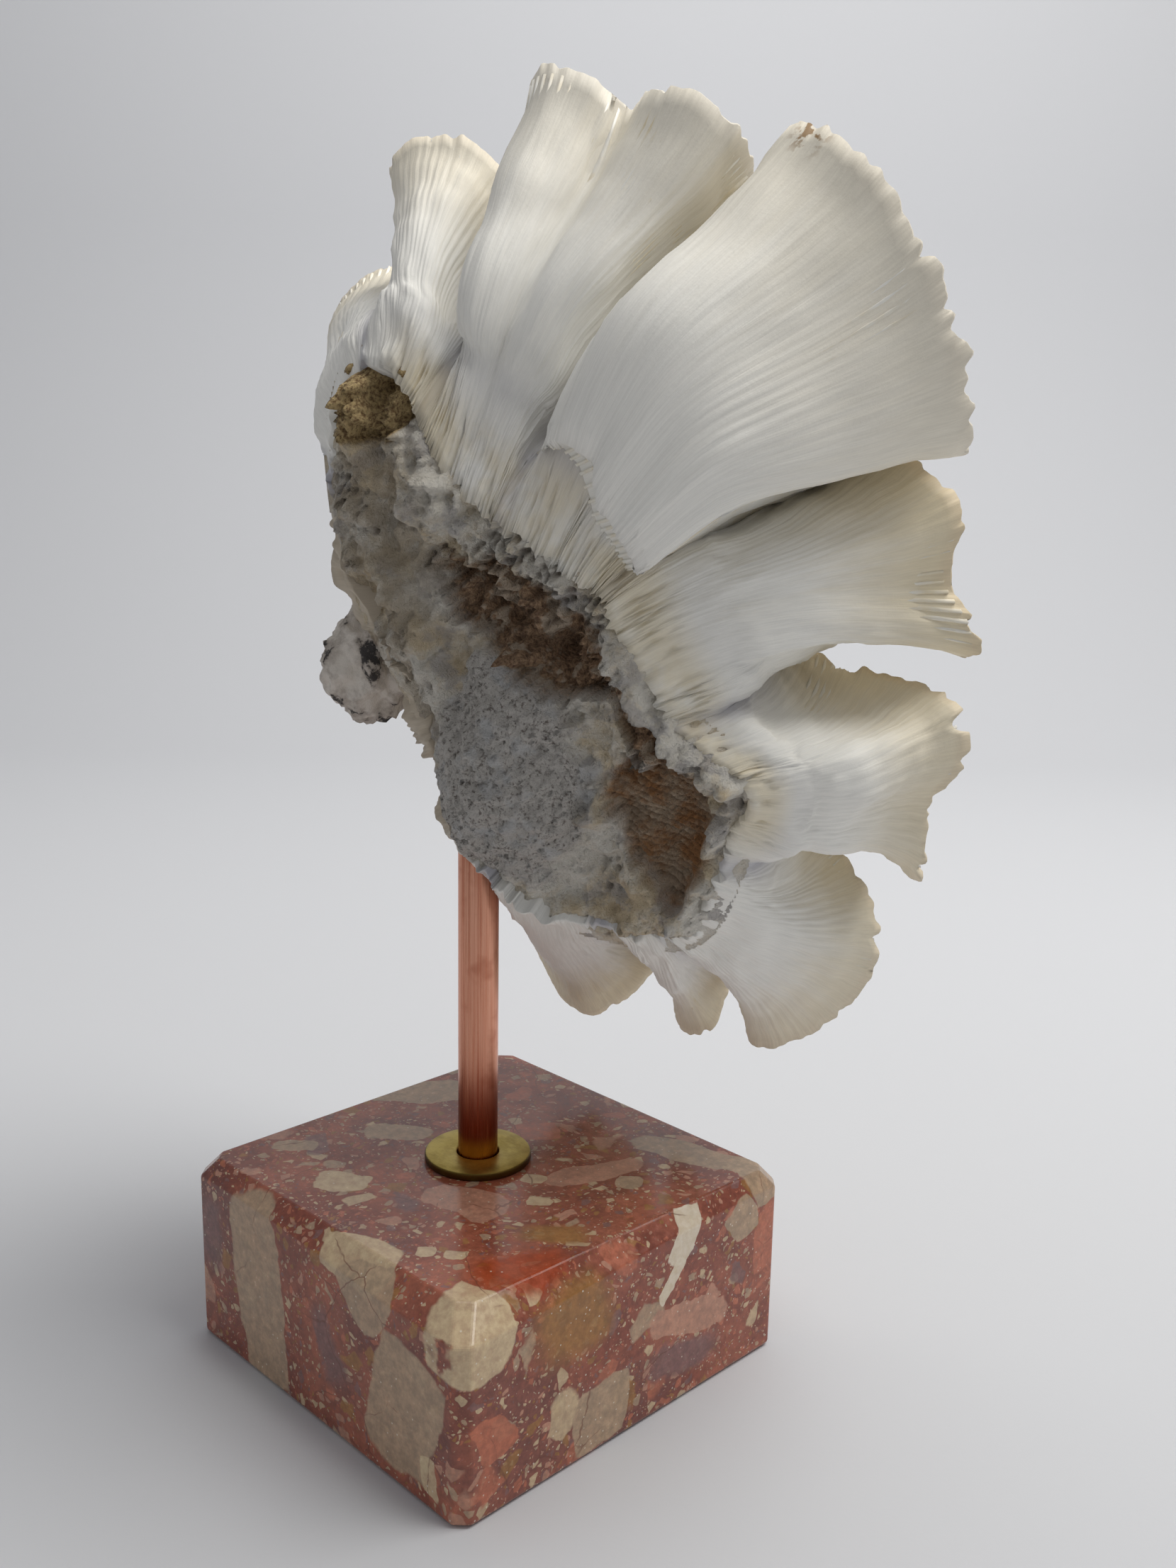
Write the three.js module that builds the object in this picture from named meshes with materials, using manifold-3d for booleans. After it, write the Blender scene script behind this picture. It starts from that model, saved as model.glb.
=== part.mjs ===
// A brain coral on a stand: a ruffled cup of white skeleton, carried by a copper tube that stands
// through a brass washer in a drilled block of polished breccia marble.
// Millimetres, +Z up, origin at the centre of the block's underside. The tube's axis is vertical.
import * as THREE from 'three';
import { mergeVertices } from 'three/addons/utils/BufferGeometryUtils.js';
import Module from 'manifold-3d';

const wasm = await Module();
wasm.setup();

// Driving dimensions.
const FIT = 0.3; // clearance round the tube
const BLOCK = { side: 106, height: 49, topChamfer: 5, cornerChamfer: 3, footChamfer: 1 };
const TUBE = { x: -3.3, y: -0.6, outer: 10, wall: 1, inBlock: 20, top: 150 };
const WASHER = { outer: 27, thick: 2 };
const SIDES = 40; // facets round the tube, the washer and their holes

// The coral's own frame: x to the right and z up as seen from behind, y along the growth, from the
// broken base towards the open face of the cup.
const CORAL = {
  origin: [27, -9, 179],
  heading: 18, // degrees that the growth turns from +Y towards -X
  rise: 10, // degrees that the growth tilts up
  centre: [-6, 4, -4], // middle of the broken base
  columnsPerPoint: 3,
  wall: { root: 7, rim: 2 }, // thickness
  swellAt: 0.45, // share of the wall's height where a lobe swells most
  swellSpan: 0.17,
  foldDepth: 6,
  ragged: 0.012, // unevenness of the rim, as a share of the wall's height
  floorAt: 0.4, // share of the wall's height where the inner wall meets the valley floor
  valley: [[-28, 24, 40], [10, 26, -56]], // ends of the line where the valleys meet
  septum: 3, // how far every second column of the inner wall stands into the valley
};

// The edge of the broken base, clockwise from the upper left.
const BASE_EDGE = [
  [-47, 8, 61], [-35, 6, 63], [-23, 3, 43], [-12, 2, 33], [4, 1, 24], [16, 1, 17],
  [21, 1, 5], [31, 2, -12], [46, 4, -25], [41, 6, -39], [28, 8, -64], [5, 4, -64],
  [-12, -3, -56], [-24, -3, -40], [-31, 2, -20], [-48, 6, 6], [-55, 8, 40],
];

// The lobes of the ruffle. root: the stretch of the base edge that the lobe grows from. skirt: how far
// it runs outwards before it turns up. swell: how far its back bulges. neck: how much it narrows below
// the rim. sway: how far it leans on the way. rim: starts at the fold shared with the lobe before.
// fold: 1 for a full fold there, 0 where the wall runs on.
const LOBES = [
  { root: [15.9, 17.2], skirt: 16, swell: 0, neck: 0.3, sway: [0, 0, 0], fold: 1,
    rim: [[-66, 80, 44], [-99, 70, 44], [-100, 74, 58], [-90, 78, 68], [-72, 84, 70]] },
  { root: [17.4, 18.4], skirt: 22, swell: 4, neck: 0.6, sway: [4, 0, 0], fold: 1,
    rim: [[-58, 82, 68], [-68, 74, 88], [-71, 66, 105], [-58, 62, 112], [-40, 60, 108], [-31, 64, 92]] },
  { root: [18.6, 19.3], skirt: 34, swell: 8, neck: 0.3, sway: [0, 0, 0], fold: 1,
    rim: [[-24, 76, 66], [-26, 68, 98], [-24, 56, 121], [-14, 51, 123], [-6, 54, 119]] },
  { root: [19.4, 20.1], skirt: 36, swell: 8, neck: 0.2, sway: [0, 0, 0], fold: 0.2,
    rim: [[-1, 60, 114], [10, 50, 117], [21, 45, 114], [31, 47, 106], [28, 62, 94]] },
  { root: [20.2, 21.1], skirt: 26, swell: 13, neck: 0, sway: [6, 0, 14], fold: 1,
    rim: [[10, 74, 60], [32, 62, 92], [43, 45, 107], [58, 37, 100]] },
  { root: [21.2, 21.9], skirt: 26, swell: 13, neck: 0, sway: [0, 0, 4], fold: 0,
    rim: [[75, 33, 81], [81, 34, 64], [82, 44, 42], [66, 65, 42]] },
  { root: [22, 23.8], skirt: 28, swell: 3, neck: 0.5, sway: [0, 0, 5], fold: 1,
    rim: [[34, 74, 32], [54, 60, 38], [68, 52, 37], [80, 46, 27], [78, 46, 12], [84, 47, 1], [83, 50, -6], [64, 68, -6]] },
  { root: [24, 26], skirt: 20, swell: 3, neck: 0.4, sway: [0, 0, 0], fold: 1,
    rim: [[32, 72, -8], [46, 60, -12], [58, 54, -13], [82, 40, -15], [84, 36, -26], [78, 36, -36], [74, 42, -57], [57, 62, -56]] },
  { root: [26.2, 27.1], skirt: 12, swell: 0, neck: 0.4, sway: [0, 0, 0], fold: 1,
    rim: [[32, 72, -50], [49, 58, -60], [62, 46, -71], [63, 44, -82], [58, 44, -93], [47, 46, -106], [29, 48, -115]] },
  { root: [27.2, 27.6], skirt: 12, swell: 0, neck: 0.4, sway: [0, 0, 0], fold: 0.5,
    rim: [[18, 62, -104], [13, 54, -118], [1, 60, -123], [-5, 75, -108]] },
  { root: [27.8, 29.1], skirt: 10, swell: 0, neck: 0.4, sway: [0, 0, 0], fold: 1,
    rim: [[-8, 80, -84], [-12, 72, -112], [-22, 65, -123], [-31, 62, -127], [-43, 64, -117], [-58, 78, -98]] },
  { root: [29.3, 30.4], skirt: 8, swell: 0, neck: 0.3, sway: [0, 0, 0], fold: 1,
    rim: [[-34, 80, -68], [-46, 76, -80], [-54, 72, -76], [-60, 72, -64], [-60, 76, -52]] },
  { root: [30.6, 31.6], skirt: 12, swell: 0, neck: 0.3, sway: [0, 0, 0], fold: 1,
    rim: [[-46, 80, -38], [-72, 72, -34], [-82, 70, -24], [-87, 70, -10], [-82, 76, 2]] },
  { root: [31.7, 32.7], skirt: 14, swell: 0, neck: 0.3, sway: [0, 0, 0], fold: 1,
    rim: [[-60, 80, 6], [-82, 74, 14], [-88, 70, 20], [-87, 72, 32], [-80, 78, 38]] },
];

// Hollows (positive) and swellings (negative) of the broken base: centre, half sizes, turn, depth.
const BASE_RELIEF = [
  { at: [4, 4], size: [26, 9], turn: -40, depth: 15 },
  { at: [24, -36], size: [10, 22], turn: 20, depth: 9 },
  { at: [-12, -32], size: [18, 28], turn: 10, depth: -10 },
  { at: [-38, 54], size: [12, 9], turn: 0, depth: 7 },
];

// The dead stub at the left of the base.
const STUB = { at: [-58, 18, -9], size: [13, 13, 15] };

const deg = THREE.MathUtils.degToRad;
const lerp = THREE.MathUtils.lerp;

function toSolid(geometry) {
  const bare = new THREE.BufferGeometry().setAttribute('position', geometry.getAttribute('position'));
  if (geometry.index) bare.setIndex(geometry.index);
  const merged = mergeVertices(bare, 1e-4);
  return new wasm.Manifold(new wasm.Mesh({
    numProp: 3,
    vertProperties: merged.attributes.position.array,
    triVerts: new Uint32Array(merged.index.array),
  }));
}

function toGeometry(solid) {
  const mesh = solid.getMesh();
  const geometry = new THREE.BufferGeometry();
  geometry.setAttribute('position', new THREE.BufferAttribute(mesh.vertProperties, 3));
  geometry.setIndex(new THREE.BufferAttribute(mesh.triVerts, 1));
  geometry.computeVertexNormals();
  return geometry;
}

function uprightCylinder(radius, low, high) {
  const geometry = new THREE.CylinderGeometry(radius, radius, high - low, SIDES);
  geometry.rotateX(Math.PI / 2);
  geometry.translate(TUBE.x, TUBE.y, (low + high) / 2);
  return geometry;
}

function ring(innerRadius, outerRadius, low, high) {
  const profile = [[innerRadius, low], [outerRadius, low], [outerRadius, high], [innerRadius, high], [innerRadius, low]];
  const geometry = new THREE.LatheGeometry(profile.map(([r, z]) => new THREE.Vector2(r, z)), SIDES);
  geometry.rotateX(Math.PI / 2);
  geometry.translate(TUBE.x, TUBE.y, 0);
  return geometry;
}

// The block: a square with cut corners, bevelled all round. The foot bevel is ground back to a
// narrow edge, and the tube's socket is drilled from the top.
function blockSolid() {
  const half = BLOCK.side / 2;
  const cut = half - BLOCK.cornerChamfer;
  const corners = [[-cut, -half], [cut, -half], [half, -cut], [half, cut], [cut, half], [-cut, half], [-half, cut], [-half, -cut]];
  const outline = new THREE.Shape(corners.map(([x, y]) => new THREE.Vector2(x, y)));
  const ground = BLOCK.topChamfer - BLOCK.footChamfer;
  const body = new THREE.ExtrudeGeometry(outline, {
    depth: BLOCK.height + ground - 2 * BLOCK.topChamfer,
    bevelThickness: BLOCK.topChamfer,
    bevelSize: BLOCK.topChamfer,
    bevelOffset: -BLOCK.topChamfer,
    bevelSegments: 1,
  });
  body.translate(0, 0, BLOCK.topChamfer - ground);
  const underfloor = new THREE.BoxGeometry(2 * BLOCK.side, 2 * BLOCK.side, BLOCK.side);
  underfloor.translate(0, 0, -BLOCK.side / 2);
  const socket = uprightCylinder(TUBE.outer / 2 + FIT, BLOCK.height - TUBE.inBlock - FIT, BLOCK.height + 10);
  return toSolid(body).subtract(toSolid(underfloor)).subtract(toSolid(socket));
}

// The coral's wall: growth lines run from the base edge to the rim, one per column.
const vec = (p) => new THREE.Vector3(...p);
const outwards = new THREE.Vector3(0, 1, 0);
const centre = vec(CORAL.centre);
const baseEdge = new THREE.CatmullRomCurve3(BASE_EDGE.map(vec), true);
const onBaseEdge = (place) => baseEdge.getPoint((place / BASE_EDGE.length) % 1);
const rimPoints = LOBES.flatMap((lobe) => lobe.rim.map(vec));
const rim = new THREE.CatmullRomCurve3(rimPoints, true);
const COLUMNS = rimPoints.length * CORAL.columnsPerPoint;

// What a lobe gives to each of its rim points. At a full fold the lobe's own shape fades out.
const growth = LOBES.flatMap(({ root, skirt, swell, neck, sway, fold, rim: points }) => {
  const middle = points.slice(1).reduce((sum, p) => sum.add(vec(p)), new THREE.Vector3());
  middle.divideScalar(points.length - 1);
  return points.map((p, i) => {
    const own = i ? 1 : 1 - fold;
    return {
      place: lerp(...root, i / (points.length - 1)),
      axisRoot: onBaseEdge((root[0] + root[1]) / 2),
      axisRim: middle,
      sway: vec(sway).multiplyScalar(own),
      skirt,
      swell: swell * own,
      neck: neck * own,
      fold: 1 - own,
    };
  });
});

function growthLine(column) {
  const at = column / CORAL.columnsPerPoint;
  const i = Math.floor(at);
  const [from, to] = [growth[i], growth[(i + 1) % growth.length]];
  const step = THREE.MathUtils.smoothstep(at - i, 0, 1);
  const mix = (key) => lerp(from[key], to[key], step);
  const mixPoint = (key) => from[key].clone().lerp(to[key], step);
  const wrap = to.place < from.place ? BASE_EDGE.length : 0;
  const place = lerp(from.place, to.place + wrap, at - i);
  const root = onBaseEdge(place);
  const end = rim.getPoint(at / rimPoints.length);
  const along = onBaseEdge(place + 0.15).sub(onBaseEdge(place + BASE_EDGE.length - 0.15));
  const across = new THREE.Vector3(-along.z, 0, along.x).normalize();
  const radial = root.clone().sub(centre).setY(0).normalize();
  const out = across.add(radial).normalize();
  const [skirt, sway, fold] = [mix('skirt'), mixPoint('sway'), mix('fold')];
  const axis = (height) => mixPoint('axisRoot').lerp(mixPoint('axisRim'), height);

  const low = root.clone().addScaledVector(out, skirt).addScaledVector(outwards, skirt / 4).add(sway);
  const high = root.clone().lerp(end, 0.6);
  high.lerp(axis(0.6), mix('neck')).addScaledVector(outwards, CORAL.foldDepth * fold).addScaledVector(sway, 0.35);
  return { curve: new THREE.CubicBezierCurve3(root, low, high, end), axis, fold, swell: mix('swell') };
}

const lines = Array.from({ length: COLUMNS }, (_, c) => growthLine(c));

function outerWall(column, height) {
  const { curve, swell } = lines[column];
  const bulge = swell * Math.exp(-(((height - CORAL.swellAt) / CORAL.swellSpan) ** 2));
  return curve.getPoint(height).addScaledVector(outwards, -bulge);
}

// The inner wall lies towards the middle of the lobe, or of the whole cup at a fold.
const tallest = 1 + 2 * CORAL.ragged;
const ridgeAt = (column) => (column % 2 ? CORAL.septum : 0);
function innerWall(column, height) {
  const outer = outerWall(column, height);
  const { axis, fold } = lines[column];
  const aim = axis(height).addScaledVector(outwards, 14 * (1 - height));
  aim.lerp(new THREE.Vector3(centre.x, outer.y + 10, centre.z), fold).sub(outer);
  const room = aim.length();
  const wall = lerp(CORAL.wall.root, CORAL.wall.rim, Math.sqrt(height));
  const ridge = ridgeAt(column) * Math.sin((Math.PI * (tallest - height)) / (tallest - CORAL.floorAt));
  return outer.addScaledVector(aim.normalize(), Math.min(wall + ridge, 0.45 * room));
}

// The valley floor falls from the inner wall to the line where the valleys meet.
const valley = new THREE.Line3(vec(CORAL.valley[0]), vec(CORAL.valley[1]));
function valleyFloor(column, share) {
  const edge = innerWall(column, CORAL.floorAt);
  const foot = valley.closestPointToPoint(edge, true, new THREE.Vector3());
  const p = edge.clone().lerp(foot, share);
  p.y = lerp(edge.y, foot.y, Math.sin((Math.PI / 2) * share)) + ridgeAt(column) * (1 - share);
  return p;
}

function reliefAt(x, z) {
  return BASE_RELIEF.reduce((sum, { at, size, turn, depth }) => {
    const d = new THREE.Vector2(x - at[0], z - at[1]).rotateAround(new THREE.Vector2(), deg(-turn));
    return sum + depth * Math.exp(-((d.x / size[0]) ** 2) - (d.y / size[1]) ** 2);
  }, 0);
}

function brokenBase(column, share) {
  const p = centre.clone().lerp(outerWall(column, 0), share);
  p.y += reliefAt(p.x, p.z) * Math.min(1, 4 * (1 - share));
  return p;
}

// One closed skin: the broken base from its middle outwards, the outer wall, over the rim, the inner
// wall, and the valley floor.
function coralSkin() {
  const tip = (c) => 1 + CORAL.ragged * (Math.sin(2.4 * c) + 0.6 * Math.sin(5.1 * c));
  const rows = [
    ...[0.25, 0.5, 0.75, 0.93].map((share) => (c) => brokenBase(c, share)),
    ...[0, 0.15, 0.3, 0.45, 0.6, 0.8].map((height) => (c) => outerWall(c, height)),
    (c) => outerWall(c, tip(c)),
    (c) => innerWall(c, tip(c)),
    ...[0.8, 0.6, CORAL.floorAt].map((height) => (c) => innerWall(c, height)),
    ...[0.4, 0.8].map((share) => (c) => valleyFloor(c, share)),
  ];
  const points = rows.flatMap((row) => Array.from({ length: COLUMNS }, (_, c) => row(c)));
  points.push(brokenBase(0, 0));
  const faces = [];
  for (let c = 0; c < COLUMNS; c++) {
    const next = (c + 1) % COLUMNS;
    faces.push([points.length - 1, next, c]);
    for (let first = 0; first < (rows.length - 1) * COLUMNS; first += COLUMNS) {
      const above = first + COLUMNS;
      faces.push([first + c, first + next, above + c], [first + next, above + next, above + c]);
    }
  }
  const last = (rows.length - 1) * COLUMNS;
  const floor = points.slice(last, last + COLUMNS).map((p) => new THREE.Vector2(p.x, p.z));
  for (const [a, b, c] of THREE.ShapeUtils.triangulateShape(floor, [])) faces.push([last + a, last + c, last + b]);

  const geometry = new THREE.BufferGeometry();
  geometry.setAttribute('position', new THREE.Float32BufferAttribute(points.flatMap((p) => p.toArray()), 3));
  geometry.setIndex(faces.flat());
  return geometry;
}

const coralGroup = new THREE.Group();
coralGroup.name = 'coral_pose';
coralGroup.position.set(...CORAL.origin);
coralGroup.rotation.set(deg(CORAL.rise), 0, deg(CORAL.heading), 'ZYX');
coralGroup.updateMatrix();

const hole = toSolid(uprightCylinder(TUBE.outer / 2 + FIT, BLOCK.height + WASHER.thick + 5, TUBE.top + FIT).applyMatrix4(coralGroup.matrix.clone().invert()));
const stub = new THREE.IcosahedronGeometry(1, 3).scale(...STUB.size).translate(...STUB.at);
const coral = toSolid(coralSkin()).add(toSolid(stub)).subtract(hole);

function piece(name, geometry, colour, roughness, metalness = 0) {
  const material = new THREE.MeshStandardMaterial({ color: colour, roughness, metalness });
  const mesh = new THREE.Mesh(geometry, material);
  mesh.name = name;
  return mesh;
}

const stand = new THREE.Group();
stand.name = 'stand';
stand.add(
  piece('marble_base', toGeometry(blockSolid()), 0x9a5b45, 0.25),
  piece('brass_washer', ring(TUBE.outer / 2 + FIT, WASHER.outer / 2, BLOCK.height, BLOCK.height + WASHER.thick), 0xb89a4a, 0.4, 1),
  piece('copper_tube', ring(TUBE.outer / 2 - TUBE.wall, TUBE.outer / 2, BLOCK.height - TUBE.inBlock, TUBE.top), 0xb5714a, 0.3, 1),
);
coralGroup.add(piece('coral', toGeometry(coral), 0xe9e5df, 0.8));

const part = new THREE.Group();
part.name = 'mounted_brain_coral';
part.add(stand, coralGroup);
export default part;
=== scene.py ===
# %% [markdown]
# A brain coral on a stand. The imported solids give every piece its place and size: a block of polished
# breccia marble, a brass washer, a copper tube and the coral, seen from its broken base. This lesson
# dresses each of them. Everything is in metres, and sizes are written in millimetres times MM.

import math

import bmesh
import bpy
import mathutils
import numpy as np
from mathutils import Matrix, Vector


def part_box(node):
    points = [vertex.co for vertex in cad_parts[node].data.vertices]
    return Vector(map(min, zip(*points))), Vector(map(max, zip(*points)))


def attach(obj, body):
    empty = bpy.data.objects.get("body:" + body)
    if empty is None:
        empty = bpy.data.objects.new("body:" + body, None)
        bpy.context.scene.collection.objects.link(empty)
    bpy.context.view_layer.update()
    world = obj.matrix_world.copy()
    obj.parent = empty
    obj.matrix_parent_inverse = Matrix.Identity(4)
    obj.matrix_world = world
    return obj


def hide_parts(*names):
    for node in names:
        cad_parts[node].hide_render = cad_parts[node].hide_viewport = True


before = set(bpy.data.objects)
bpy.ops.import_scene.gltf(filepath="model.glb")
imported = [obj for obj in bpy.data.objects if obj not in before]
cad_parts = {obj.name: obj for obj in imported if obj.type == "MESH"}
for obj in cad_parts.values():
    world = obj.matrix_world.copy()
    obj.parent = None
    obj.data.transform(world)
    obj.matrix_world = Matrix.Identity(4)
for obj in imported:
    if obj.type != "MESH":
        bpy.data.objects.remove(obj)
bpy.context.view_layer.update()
MM = 0.001

# %% [markdown]
# The camera. A phone held a little above the coral, close to it, so the lens is fairly wide and the
# upright edges converge. The place and the three angles are the ones that line up the block's eight
# corners and the tube with the picture, so nothing else needs fitting by eye.

# %% Camera
IMAGE_SIZE = (1659, 2212)
FOCAL_PIXELS = 2110.36
SENSOR = 36.0
CAMERA_AT = np.array([266.09, -229.19, 224.35]) * MM
CAMERA_TURN, CAMERA_DIP, CAMERA_ROLL = np.radians([45.41, 12.39, 1.06])

BACK = np.array([
    math.sin(CAMERA_TURN) * math.cos(CAMERA_DIP),
    -math.cos(CAMERA_TURN) * math.cos(CAMERA_DIP),
    math.sin(CAMERA_DIP),
])
LEVEL = np.array([math.cos(CAMERA_TURN), math.sin(CAMERA_TURN), 0.0])
UPRIGHT = np.cross(BACK, LEVEL)
RIGHT = math.cos(CAMERA_ROLL) * LEVEL + math.sin(CAMERA_ROLL) * UPRIGHT
UP = -math.sin(CAMERA_ROLL) * LEVEL + math.cos(CAMERA_ROLL) * UPRIGHT

camera_data = bpy.data.cameras.new("camera")
camera_data.sensor_width = SENSOR
camera_data.lens = FOCAL_PIXELS * SENSOR / IMAGE_SIZE[1]
camera_data.clip_start = 0.01
camera = bpy.data.objects.new("camera", camera_data)
placed = np.eye(4)
placed[:3, 0], placed[:3, 1], placed[:3, 2], placed[:3, 3] = RIGHT, UP, BACK, CAMERA_AT
camera.matrix_world = mathutils.Matrix(placed.tolist())
bpy.context.scene.collection.objects.link(camera)
bpy.context.scene.camera = camera
print("lens", round(camera_data.lens, 2), "mm")

# %% [markdown]
# Small helpers for node trees. Every tree in this lesson is built with the same few: they add a node
# with its settings and inputs, do arithmetic, ease a value, blend two colours and use a group. They
# keep the cells below short enough to read as a recipe.

# %% Node helpers
def feed(tree, socket, value):
    """Links an output socket to an input, or sets the input's own value."""
    if isinstance(value, bpy.types.NodeSocket):
        tree.links.new(value, socket)
    else:
        socket.default_value = value


def add(tree, kind, inputs=None, **settings):
    """A node with its settings. An input is a value, or the output socket that feeds it."""
    made = tree.nodes.new(kind)
    for name, value in settings.items():
        setattr(made, name, value)
    for key, value in (inputs or {}).items():
        feed(tree, made.inputs[key], value)
    return made


def maths(tree, operation, *values):
    return add(tree, "ShaderNodeMath", dict(enumerate(values)), operation=operation).outputs[0]


def times(tree, a, b):
    return maths(tree, "MULTIPLY", a, b)


def vector_maths(tree, operation, *values):
    made = add(tree, "ShaderNodeVectorMath", dict(enumerate(values)), operation=operation)
    return made.outputs["Value" if operation in ("LENGTH", "DOT_PRODUCT") else "Vector"]


def ramp(tree, value, low, high, start=0.0, end=1.0):
    """Eases from start to end while value goes from low to high."""
    inputs = {"Value": value, "From Min": low, "From Max": high, "To Min": start, "To Max": end}
    return add(tree, "ShaderNodeMapRange", inputs, interpolation_type="SMOOTHSTEP").outputs[0]


MIX_FACTOR, MIX_A, MIX_B, MIX_RESULT = 0, 6, 7, 2


def blend(tree, factor, under, over, mode="MIX"):
    inputs = {MIX_FACTOR: factor, MIX_A: under, MIX_B: over}
    return add(tree, "ShaderNodeMix", inputs, data_type="RGBA", blend_type=mode).outputs[MIX_RESULT]


def tone(red, green, blue):
    """A colour as a picture shows it, from 0 to 255, as the linear colour that shaders take."""
    shares = np.array([red, green, blue]) / 255
    linear = np.where(shares <= 0.04045, shares / 12.92, ((shares + 0.055) / 1.055) ** 2.4)
    return (*linear.tolist(), 1.0)


def shader_group(name, inputs, outputs):
    """An empty group with named sockets: inputs are (name, kind, default), outputs are (name, kind)."""
    tree = bpy.data.node_groups.new(name, "ShaderNodeTree")
    for label, kind, default in inputs:
        socket = tree.interface.new_socket(label, in_out="INPUT", socket_type=kind)
        socket.default_value = default
    for label, kind in outputs:
        tree.interface.new_socket(label, in_out="OUTPUT", socket_type=kind)
    return tree, add(tree, "NodeGroupInput").outputs, add(tree, "NodeGroupOutput").inputs


def use(tree, group, **inputs):
    """A copy of a group in a material, its inputs named with _ for a space."""
    made = add(tree, "ShaderNodeGroup", node_tree=group)
    for name, value in inputs.items():
        feed(tree, made.inputs[name.replace("_", " ")], value)
    return made.outputs


def material(name, **settings):
    """A material's node tree and its Principled BSDF, with the values that are the same all over."""
    made = bpy.data.materials.new(name)
    made.use_nodes = True
    tree = made.node_tree
    shader = tree.nodes["Principled BSDF"]
    for label, value in settings.items():
        shader.inputs[label.replace("_", " ")].default_value = value
    return made, tree, shader


def bump(tree, height, strength, distance, normal=None):
    inputs = {"Height": height, "Strength": strength, "Distance": distance}
    if normal is not None:
        inputs["Normal"] = normal
    return add(tree, "ShaderNodeBump", inputs).outputs["Normal"]


def noise(tree, vector, scale, detail=2.0, rough=0.5):
    inputs = {"Vector": vector, "Scale": scale, "Detail": detail, "Roughness": rough}
    return add(tree, "ShaderNodeTexNoise", inputs).outputs


def millimetres(tree):
    """Object coordinates, counted in millimetres."""
    place = add(tree, "ShaderNodeTexCoord").outputs["Object"]
    return vector_maths(tree, "MULTIPLY", place, (1 / MM, 1 / MM, 1 / MM))


print("node helpers ready")

# %% [markdown]
# The stage. The coral stands on a pale cloth that curves up behind it. One swept profile makes floor
# and wall without a corner line. The curve starts far enough back for the camera to go round the
# object.

# %% Floor and backdrop
FLOOR_NEAR, FLOOR_FAR, STAGE_RISE, SWEEP_RADIUS, HALF_WIDTH = 1.6, 0.75, 2.2, 0.45, 3.0
CURVE_STEPS = 24
CLOTH = tone(206, 207, 210)


def stage_sweep():
    profile = [(-FLOOR_NEAR, 0.0), (FLOOR_FAR, 0.0)]
    for step in range(1, CURVE_STEPS + 1):
        turn = math.pi / 2 * step / CURVE_STEPS
        profile.append((FLOOR_FAR + SWEEP_RADIUS * math.sin(turn), SWEEP_RADIUS * (1 - math.cos(turn))))
    profile.append((FLOOR_FAR + SWEEP_RADIUS, STAGE_RISE))
    away = -BACK * np.array([1, 1, 0])
    away /= np.linalg.norm(away)
    points = [away * along + LEVEL * side + np.array([0, 0, rise])
              for along, rise in profile for side in (-HALF_WIDTH, HALF_WIDTH)]
    faces = [(2 * i, 2 * i + 1, 2 * i + 3, 2 * i + 2) for i in range(len(profile) - 1)]
    mesh = bpy.data.meshes.new("backdrop")
    mesh.from_pydata([p.tolist() for p in points], [], faces)
    mesh.shade_smooth()
    return bpy.data.objects.new("backdrop", mesh)


backdrop = stage_sweep()
bpy.context.scene.collection.objects.link(backdrop)
cloth, tree, shader = material("backdrop_cloth", Roughness=0.95)
weave = noise(tree, millimetres(tree), 0.9, 3.0)
shader.inputs["Base Color"].default_value = CLOTH
tree.links.new(bump(tree, weave["Fac"], 0.15, 0.2 * MM), shader.inputs["Normal"])
backdrop.data.materials.append(cloth)
print("backdrop:", len(backdrop.data.polygons), "faces")

# %% [markdown]
# The light. A large window to the right and above gives soft shade that falls to the left, and a weak
# grey sky fills the rest. A big area lamp is the whole window: the larger it is, the softer the
# shadow's edge. A second lamp above the object is turned away from it and only washes the backdrop.

# %% Light
WINDOW_POWER, WINDOW_SIZE, WINDOW_FAR = 14.0, 1.0, 1.3
WINDOW_TOWARDS = 0.5 * RIGHT + 0.85 * UP + 0.18 * BACK
WINDOW_COLOUR = (1.0, 0.985, 0.95)
WASH_POWER, WASH_SIZE, WASH_FAR = 5.5, 0.8, 1.0
WASH_TOWARDS, WASH_FACING = 0.15 * RIGHT + UP, BACK + 0.25 * UP
WASH_COLOUR = (1.0, 0.99, 0.97)
SKY_STRENGTH, SKY_COLOUR = 0.33, (0.96, 0.97, 1.0, 1.0)
MIDDLE = np.array([0.0, 0.0, 0.16])


def turn_back_to(lamp, direction):
    """A lamp shines away from its own back, which is turned to the given direction."""
    lamp.rotation_euler = mathutils.Vector(direction.tolist()).to_track_quat("Z", "Y").to_euler()


def area_lamp(name, towards, far, size, power, colour):
    data = bpy.data.lights.new(name, "AREA")
    data.shape, data.size, data.energy, data.color = "DISK", size, power, colour
    lamp = bpy.data.objects.new(name, data)
    towards = np.array(towards) / np.linalg.norm(towards)
    lamp.location = (MIDDLE + towards * far).tolist()
    turn_back_to(lamp, towards)
    bpy.context.scene.collection.objects.link(lamp)
    return lamp


area_lamp("window", WINDOW_TOWARDS, WINDOW_FAR, WINDOW_SIZE, WINDOW_POWER, WINDOW_COLOUR)
wall_wash = area_lamp("wall_wash", WASH_TOWARDS, WASH_FAR, WASH_SIZE, WASH_POWER, WASH_COLOUR)
turn_back_to(wall_wash, WASH_FACING)
world = bpy.data.worlds.new("sky")
bpy.context.scene.world = world
world.use_nodes = True
sky = world.node_tree.nodes["Background"]
sky.inputs["Color"].default_value = SKY_COLOUR
sky.inputs["Strength"].default_value = SKY_STRENGTH
bpy.context.scene.view_settings.view_transform = "Standard"
print("window", WINDOW_POWER, "W, sky", SKY_STRENGTH)

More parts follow.
